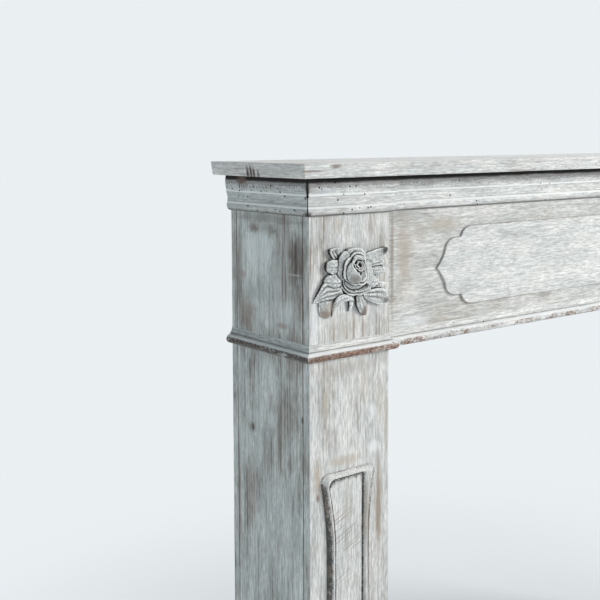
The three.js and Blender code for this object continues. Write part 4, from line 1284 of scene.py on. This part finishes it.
def neighbour_mean(values, edges, count):
    """Mean of each vertex's neighbours."""
    total = np.zeros_like(values)
    np.add.at(total, edges[:, 0], values[edges[:, 1]])
    np.add.at(total, edges[:, 1], values[edges[:, 0]])
    return total / count


def carved_rose():
    """The rose's mesh, lying flat: all reliefs fused into one, with a `hollow` value for painted shade in the
    concave places, in creases, on steep walls near the board and on walls turned to the left.
    """
    verts, faces = [], []
    parts = [rose_core()]
    for maker, rows in ((leaf, LEAVES), (free_form, FREE_FORMS.values()), (ring_petal, RING_PETALS)):
        parts += [maker(*row) for row in rows]
    for points, quads in parts:
        base = len(verts)
        verts += points
        faces += [tuple(base + i for i in quad) for quad in quads]
    rough = bpy.data.meshes.new("rose")
    rough.from_pydata([Vector(v) * ROSE_UNIT * MM for v in verts], [], faces)
    holder = bpy.data.objects.new("rose_parts", rough)
    SCENE.collection.objects.link(holder)
    fuse = holder.modifiers.new("fuse", "REMESH")
    fuse.mode = "VOXEL"
    fuse.voxel_size = ROSE_VOXEL * MM
    ease = holder.modifiers.new("ease", "SMOOTH")
    ease.factor = 0.5
    ease.iterations = 1
    mesh = evaluated_mesh(holder)
    place = read(mesh.vertices, "co", 3)
    place[:, 2] = np.maximum(place[:, 2], 0.0)
    normal = read(mesh.vertices, "normal", 3)
    edges = read(mesh.edges, "vertices", 2, np.int64)
    degree = np.bincount(edges.ravel(), minlength=len(place)).astype(float)
    wide = place.copy()
    near_steps, wide_steps = 4, 14
    for step in range(1, wide_steps + 1):
        wide = neighbour_mean(wide, edges, degree[:, None])
        sunk = np.einsum("ij,ij->i", wide - place, normal) / MM
        if step == near_steps:
            crease = sunk
    # Painted shade: concave places, creases, steep walls near the board and walls turned to the left, away from
    # the main lamp, get a high value and are painted dark
    hollow = sunk + np.clip(crease, 0, 1) * 1.6
    steep = np.clip(1.0 - normal[:, 2] * 1.25, 0, 1)
    foot = 7.5
    low = np.clip(1.0 - place[:, 2] / (foot * MM), 0, 1)
    turned_left = np.clip(-normal[:, 0] - 0.2 * normal[:, 1], 0, 1)
    mask = np.clip(hollow * 1.7, -1, 1.6) + steep * low * 0.8 + steep * turned_left * 0.9
    mask = 0.5 * mask + 0.5 * neighbour_mean(mask, edges, degree)
    mesh.vertices.foreach_set("co", place.ravel())
    add_values(mesh, "hollow", np.clip(mask * 0.5 + 0.5, 0, 1))
    mesh.update()
    return mesh


# Stains and painted shade on the rose: place and reach in the rose's own unit, colour and strength
ROSE_STAINS_AND_SHADE = [
    ((-36, -35), (9, 7), (0.27, 0.21, 0.165), 0.85),
    ((-30, -27), (7, 6), (0.45, 0.40, 0.34), 0.6),
    ((18, -37), (6, 8), (0.20, 0.165, 0.14), 0.95),
    ((-4, 1), (9, 6), (0.22, 0.205, 0.19), 0.8),
    # painted shade at the curled tip of the high leaf
    ((45, 28), (4.5, 5.0), (0.075, 0.07, 0.06), 0.95),
    # painted shade in the deep eye of the bud
    ((1.8, 16.5), (2.0, 2.6), (0.01, 0.01, 0.01), 1.0),
    # painted shade at the curled tip of the lower leaf
    ((49, -28), (6, 4), (0.13, 0.125, 0.115), 0.75),
]


def rose_finish(name, centre):
    """Grey-white paint, thin on the high places, with painted shade in dark brown-grey and near black where the
    `hollow` value is high, and painted highlights along the convex rims.
    """
    material, n, shader = new_material(name)
    place = n.coordinates()
    hollow = n.add("ShaderNodeAttribute", attribute_name="hollow").outputs["Fac"]
    mottle = n.noise(place, 400.0, detail=4, roughness=0.8)
    patch = n.noise(place, 70.0, detail=4, roughness=0.6)
    paint = n.mix(n.span(mottle, 0.36, 0.64), (0.68, 0.71, 0.70), (0.27, 0.295, 0.29))
    paint = n.mix(n.times(n.span(patch, 0.50, 0.68), 0.45), paint, (0.29, 0.28, 0.26))
    rag = n.off_middle(mottle, 0.22)
    depth = n.plus(hollow, rag)
    # Painted shade where the `hollow` value is high
    colour = n.mix(n.span(depth, 0.52, 0.74), paint, (0.20, 0.19, 0.175))
    colour = n.mix(n.span(depth, 0.72, 0.95), colour, (0.035, 0.032, 0.028))
    # Painted highlight along the convex rims
    rim_highlight = n.times(n.span(depth, 0.47, 0.28), n.span(mottle, 0.60, 0.44, 0.3, 1.0))
    colour = n.mix(n.times(rim_highlight, 0.95), colour, (0.86, 0.87, 0.86))
    for (x, y), (wide, high), tint, strength in ROSE_STAINS_AND_SHADE:
        spot = (centre[0] + x * ROSE_UNIT, FRONT - 8, centre[1] + y * ROSE_UNIT)
        mask = blot(n, place, spot, (wide * ROSE_UNIT, 60, high * ROSE_UNIT), Ragged=0.35)
        colour = n.mix(n.times(mask, strength), colour, tint)
    n.feed(shader.inputs["Base Color"], colour)
    shader.inputs["Roughness"].default_value = 0.78
    shader.inputs["Specular IOR Level"].default_value = 0.3
    grain = n.plus(n.times(mottle, 0.7), n.times(n.noise(place, 900.0, detail=2), 0.3))
    relief_node = n.add("ShaderNodeBump", {"Height": grain, "Strength": 0.8, "Distance": 0.0009})
    n.feed(shader.inputs["Normal"], relief_node.outputs["Normal"])
    return material


def roses():
    """Both roses, from one carved mesh."""
    flat = carved_rose()
    level = BLOCK_TOP - BLOCK_HEIGHT / 2 - ROSE_DROP
    for side, outward in (("left", -1), ("right", 1)):
        x = outward * (OUTER - LEG_WIDTH / 2)
        mesh = flat.copy()
        upright = Matrix.Rotation(math.pi / 2, 4, "X")
        mesh.transform(Matrix.Translation((x * MM, FRONT * MM, level * MM)) @ upright)
        mesh.shade_smooth()
        finished(f"{side}_rose", mesh, [rose_finish(f"rose_paint_{side}", (x, level))], "painted_ornament")
    bpy.data.meshes.remove(flat)


# Marks that sit in one place, in millimetres of the row frame
def marks_on(axis, level, rows):
    """Marks on an upright face at `level` of an axis. A row has the place along the face, the height, the
    reach along and up, the colour, the strength and the streak."""
    marks = []
    for along, high, wide, tall, *look in rows:
        if axis == "X":
            marks.append(((level, along, high), (MARK_DEPTH, wide, tall), *look))
        else:
            marks.append(((along, level, high), (wide, MARK_DEPTH, tall), *look))
    return marks


SIDE_MARKS = marks_on("X", -OUTER, [
    # block
    (52, 952, 15, 9, (0.16, 0.12, 0.10), 0.85, 0.0),
    (15, 952, 20, 10, (0.17, 0.17, 0.14), 0.7, 0.0),
    # painted shadow under the cornice, along the top of the block
    (15, 968, 90, 8, (0.20, 0.20, 0.18), 0.6, 0.0),
    (98, 890, 13, 85, (0.16, 0.15, 0.13), 0.75, 0.6),
    (38, 921, 34, 38, (0.66, 0.73, 0.74), 0.6, 0.0),
    (-20, 905, 26, 70, (0.19, 0.175, 0.155), 0.8, 0.8),
    (-51, 915, 19, 46, (0.085, 0.064, 0.052), 0.95, 0.4),
    (-44, 893, 18, 1.4, (0.50, 0.51, 0.50), 0.55, 0.0),
    (72, 825, 26, 22, (0.26, 0.22, 0.19), 0.6, 0.3),
    (-30, 835, 22, 20, (0.56, 0.61, 0.62), 0.5, 0.0),
    (-14, 817, 14, 5, (0.24, 0.18, 0.15), 0.55, 0.0),
    (82, 882, 7, 7, (0.27, 0.21, 0.17), 0.6, 0.0),
    (45, 858, 40, 14, (0.33, 0.37, 0.37), 0.5, 0.3),
    # below the astragal
    (61, 653, 10, 9, (0.18, 0.17, 0.15), 0.65, 0.3),
    (59, 654, 4, 6, (0.11, 0.075, 0.055), 0.85, 0.0),
    (80, 662, 13, 14, (0.26, 0.255, 0.235), 0.5, 0.4),
    (12, 674, 10, 14, (0.64, 0.71, 0.73), 0.6, 0.0),
    (50, 676, 13, 9, (0.60, 0.67, 0.69), 0.4, 0.0),
    (-8, 652, 13, 70, (0.20, 0.185, 0.155), 0.75, 0.85),
    (26, 610, 11, 36, (0.25, 0.23, 0.215), 0.7, 0.8),
    (63, 551, 11, 52, (0.31, 0.265, 0.235), 0.6, 0.7),
    (96, 545, 3, 96, (0.20, 0.15, 0.115), 0.8, 0.0),
    (-61, 689, 3, 6, (0.07, 0.06, 0.05), 0.9, 0.0),
])
FRONT_MARKS = marks_on("Y", FRONT, [
    (-536, 706, 6, 22, (0.47, 0.43, 0.33), 0.6, 0.6),
    (-462, 727, 9, 24, (0.49, 0.42, 0.34), 0.55, 0.6),
    (-430, 700, 11, 35, (0.47, 0.42, 0.35), 0.6, 0.5),
    (-420, 660, 5, 48, (0.42, 0.38, 0.32), 0.65, 0.3),
    (-447, 686, 4, 13, (0.86, 0.87, 0.88), 0.6, 0.0),
    (-444, 633, 12, 10, (0.86, 0.87, 0.88), 0.6, 0.0),
    (-551, 602, 8, 32, (0.40, 0.31, 0.235), 0.75, 0.5),
    (-550, 578, 3, 6, (0.17, 0.10, 0.07), 0.7, 0.0),
    (-436, 545, 8, 76, (0.30, 0.235, 0.175), 0.85, 0.4),
    (-500, 624, 33, 8, (0.49, 0.42, 0.34), 0.6, 0.3),
    (-500, 758, 60, 12, (0.40, 0.35, 0.30), 0.6, 0.75),
    (-495, 815, 46, 20, (0.46, 0.42, 0.36), 0.55, 0.7),
    (-520, 805, 2.4, 24, (0.34, 0.26, 0.19), 0.7, 0.0),
    (-483, 812, 2.4, 26, (0.34, 0.26, 0.19), 0.7, 0.0),
    (-466, 809, 2.4, 22, (0.32, 0.25, 0.19), 0.7, 0.0),
    (-496, 803, 2.2, 15, (0.36, 0.29, 0.22), 0.6, 0.0),
    (-514, 962, 9, 14, (0.42, 0.35, 0.28), 0.6, 0.6),
    (-450, 958, 9, 17, (0.34, 0.29, 0.25), 0.65, 0.6),
    (-429, 892, 9, 48, (0.46, 0.41, 0.35), 0.6, 0.6),
    (-556, 830, 8, 40, (0.84, 0.85, 0.86), 0.45, 0.0),
])
FRIEZE_MARKS = marks_on("Y", FRIEZE_FRONT, [
    (-372, 907, 16, 58, (0.42, 0.35, 0.28), 0.7, 0.3),
    (-290, 951, 38, 14, (0.45, 0.39, 0.32), 0.6, 0.4),
    (-339, 941, 18, 15, (0.44, 0.38, 0.31), 0.5, 0.3),
    (-355, 806, 32, 9, (0.86, 0.87, 0.88), 0.55, 0.3),
    (-397, 903, 4, 90, (0.24, 0.19, 0.15), 0.6, 0.0),
    (-295, 801, 28, 8, (0.40, 0.34, 0.28), 0.5, 0.4),
])
SHELF_MARKS = [
    # painted shade over the shelf's left end
    ((-601, 0, 1040), (5, 190, 30), (0.34, 0.36, 0.355), 0.42, 0.3),
    ((-601, 20, 1034), (9, 4, 11), (0.07, 0.05, 0.04), 1.0, 0.0),
    ((-601, 12, 1035), (9, 3.5, 13), (0.06, 0.045, 0.035), 1.0, 0.0),
    ((-601, 5, 1034), (9, 3.5, 11), (0.07, 0.05, 0.04), 1.0, 0.0),
    ((-601, -5, 1033), (9, 3, 8), (0.10, 0.075, 0.06), 0.9, 0.0),
    ((-545, -112, 1046), (11, 9, 4), (0.16, 0.12, 0.10), 0.75, 0.0),
    ((-585, -112, 1040), (26, 9, 1.6), (0.18, 0.14, 0.125), 0.75, 0.0),
]
CORNICE_MARKS = [
    ((-575, 70, 1022), (12, 13, 12), (0.12, 0.085, 0.07), 0.9, 0.0),
    ((-574, -85, 1003), (3.2, 3.2, 60), (0.02, 0.018, 0.016), 1.0, 0.0),
    ((-570, -81, 979), (6, 6, 5), (0.02, 0.018, 0.016), 0.9, 0.0),
]
PANEL_MARKS = [
    ((-498, -81, 560), (11, 9, 30), (0.40, 0.40, 0.35), 0.6, 0.3),
    ((-505, -81, 532), (25, 9, 30), (0.34, 0.22, 0.185), 0.75, -1.0),
    ((-505, -81, 490), (30, 9, 50), (0.28, 0.235, 0.20), 0.75, -1.0),
    ((-465, -81, 540), (5, 9, 60), (0.34, 0.29, 0.24), 0.7, 0.4),
    ((-458, -82, 480), (6, 16, 105), (0.13, 0.095, 0.07), 0.95, 0.3),
]

# Painted light and shade along the mouldings: shadow under the shelf, under the lips, in grooves and under the
# beads, and highlights along the lips and the tops of the beads. Each line has its lower and upper edge,
# colour, strength, and how ragged the edges are
PAINTED_HIGHLIGHT = (0.86, 0.88, 0.88)
CORNICE_LIGHT_AND_SHADE = [
    # painted shadow under the shelf; the widest line also stands for brown wear
    (1013, 1034, (0.17, 0.155, 0.15), 0.6, 3.0),
    (1022, 1036, (0.09, 0.075, 0.065), 0.75, 2.0),
    (1022.0, 1033.0, (0.009, 0.008, 0.0075), 1.0, 0.6),
    # painted shade under the fillet's lip, then painted highlight along the fillet
    (1003.6, 1004.7, (0.16, 0.15, 0.14), 0.35, 1.5),
    (1004.6, 1007.4, PAINTED_HIGHLIGHT, 0.95, 0.5),
    # painted shade at the foot of the cove, then painted highlight on the top of the bead
    (990.2, 991.3, (0.18, 0.17, 0.16), 0.35, 1.5),
    (987.0, 990.2, PAINTED_HIGHLIGHT, 0.9, 0.6),
    # painted shade under the bead
    (975.0, 979.0, (0.08, 0.07, 0.06), 0.75, 1.4),
    (974.0, 982.0, (0.20, 0.19, 0.18), 0.25, 2.0),
]
ASTRAGAL_LIGHT_AND_SHADE = [
    # painted highlight on the top of the bead, painted shade in the groove over it and under the bead
    (784.0, 788.0, PAINTED_HIGHLIGHT, 0.6, 1.8),
    (788.0, 789.3, (0.12, 0.11, 0.10), 0.55, 1.0),
    (772.5, 774.6, (0.09, 0.075, 0.065), 0.6, 1.5),
]
# Where the astragal's paint is flaked off most: centre, reach and share
WORN_FRONT = [((-525, -80, 779), (70, 30, 20), 0.38), ((-440, -80, 779), (30, 30, 14), 0.12)]


# The whole mantelpiece
def build():
    """All finishes, then every piece with its finish."""
    # Painted shade: the mitred ends and the insides of the worm holes are painted near-black so that open
    # joints and holes read dark
    inside = dark_gap("joint_and_hole_shade", SOOT_AND_GAP_SHADE)
    joints = [("Y", FRONT + BOARD_THICKNESS, 1.3), ("Y", WALL - BOARD_THICKNESS, 1.1)]
    # Painted shade: the legs' side and back boards, and the sides of the front boards, get darker copies of the
    # paint
    shade = {"white": SHADE_WHITE, "wash": SHADE_COOL, "wood": SHADE_WOOD, "dark": (0.13, 0.105, 0.085)}
    outer = whitewashed("limewash_side_painted_shade", "Z", cover=0.47, grain=0.72, patches=0.8, ticks=0.7, edge=0.45,
                        spots=SIDE_MARKS, joints_and_shadow_lines=joints, **shade)
    upright = whitewashed("limewash_upright", "Z", (0.1, 0.7, 0.3), cover=0.53, grain=0.55, patches=0.55,
                          ticks=0.6, edge=0.5, spots=FRONT_MARKS, joints_and_shadow_lines=joints)
    # The frieze's two thin lines by the legs are painted shadow where the frieze meets the legs' inner faces
    level = whitewashed("limewash_level", "X", (0.3, 0.1, 0.7), cover=0.53, grain=0.3, patches=0.65,
                        ticks=0.3, white=(0.655, 0.648, 0.625), wash=(0.53, 0.54, 0.525), spots=FRIEZE_MARKS,
                        joints_and_shadow_lines=[("X", -INNER + 10.5, 2.4), ("X", INNER - 10.5, 2.4)])
    plank = {"cover": 0.60, "grain": 0.6, "patches": 0.3, "ticks": 0.4, "spots": SHELF_MARKS}
    shelf = whitewashed("limewash_shelf", "X", (1.3, 0.4, 0.2), **plank)
    shelf_end = whitewashed("limewash_shelf_end", "Y", (0.7, 1.4, 0.2), **plank)
    cornice, astragal = {}, {}
    # Painted shade: the lengths that run along Y, on the sides of the legs, get darker copies of the paint,
    # wood and rust
    shaded = {"white": CORNICE_SHADE, "wash": SHADE_COOL, "wood": SHADE_WOOD}
    for axis, tones, amount, rust in (("X", {}, 0.50, RUST_BROWN), ("Y", shaded, 0.64, RUST_SHADE)):
        cornice[axis] = whitewashed(
            f"limewash_cornice_{axis.lower()}", axis, (0.9, 0.2, 0.5), cover=0.60, grain=0.35, patches=0.4,
            ticks=0.3, edge=0.3, light_and_shade_lines=CORNICE_LIGHT_AND_SHADE, spots=CORNICE_MARKS, **tones)
        astragal[axis] = whitewashed(
            f"worn_astragal_{axis.lower()}", axis, (0.4, 0.8, 0.1), cover=0.55, grain=0.6, patches=0.4,
            ticks=0.6, edge=0.3, light_and_shade_lines=ASTRAGAL_LIGHT_AND_SHADE, flaked=(773, 784.5, amount, WORN_FRONT), rust=rust,
            **tones)
    cornice["marks"] = whitewashed("limewash_pressed_marks", "Z", (0.5, 0.1, 0.9), cover=0.65, grain=0.3,
                                   patches=0.2, ticks=0.2, white=(0.66, 0.68, 0.70), wash=(0.52, 0.54, 0.56))
    astragal["marks"] = astragal["X"]
    panel = whitewashed("limewash_panel", "Z", (0.2, 0.5, 0.9), cover=0.54, grain=0.5, patches=0.4, ticks=0.5,
                        edge=0.2, dirt_and_shade=0.95, spots=PANEL_MARKS)
    plate = whitewashed("limewash_cartouche", "X", (0.6, 0.3, 0.4), cover=0.62, grain=0.25, patches=0.4,
                        ticks=0.2, edge=0.45, wood=(0.30, 0.24, 0.19), dirt_and_shade=0.5)

    def lean(p):
        share = (MANTEL_HEIGHT - p.z) / SHELF_THICKNESS
        half = OUTER + SHELF_OVERHANG
        return Vector((p.x - p.x / half * SHELF_UNDERCUT * share,
                       p.y + max(0.0, -p.y / WALL) * SHELF_UNDERCUT * share, p.z))

    board("shelf_board", shelf, radius=0.9, step=9.0, lean=lean, sides=shelf_end)
    board("frieze_board", level, step=9.0)
    for side in ("left", "right"):
        for part in ("front", "back", "outer", "inner"):
            board(f"{side}_leg_{part}_board", outer if part in ("outer", "back") else upright,
                  sides=outer if part == "front" else None)
    # Worm holes to the square metre
    holes = {"left_side": 2900, "left_front": 1300, "centre": 650, "right_front": 900, "right_side": 1200}
    moulding_set("cornice", cornice_profile(), SHELF_UNDERSIDE, OPEN_MITRE_GAP, cornice, inside,
                 "whitewashed_pine", holes, band=True)
    holes = {"left_side": 500, "left_front": 500, "centre": 400, "right_front": 500, "right_side": 500}
    moulding_set("astragal", astragal_profile(), ASTRAGAL_TOP, MITRE_GAP, astragal, inside,
                 "worn_moulding", holes)
    plinths(cornice, inside)
    for side, outward in (("left", -1), ("right", 1)):
        leg_panel(side, outward, panel)
    cartouche(plate)
    roses()


def plinths(finishes, inside):
    """Three boards round the foot of each leg."""
    profile, top, gap = plinth_profile(), PLINTH["height"], MITRE_GAP / 2
    for side, west in (("left", -OUTER), ("right", INNER)):
        east = west + LEG_WIDTH
        names = ("outer", "inner") if side == "left" else ("inner", "outer")
        across = (finishes["X"], inside, finishes["X"])
        along = (finishes["Y"], inside, finishes["Y"])
        moulding(f"{side}_plinth_{names[0]}", profile, (west, FRONT, top), (-1, 0, 0), LEG_DEPTH, along,
                 "whitewashed_pine", "outside", "square", (gap, 0), 21)
        moulding(f"{side}_plinth_front", profile, (east, FRONT, top), (0, -1, 0), LEG_WIDTH, across,
                 "whitewashed_pine", "outside", "outside", (gap, gap), 22)
        moulding(f"{side}_plinth_{names[1]}", profile, (east, WALL, top), (1, 0, 0), LEG_DEPTH, along,
                 "whitewashed_pine", "square", "outside", (0, gap), 23)


place_camera()
studio()
build()
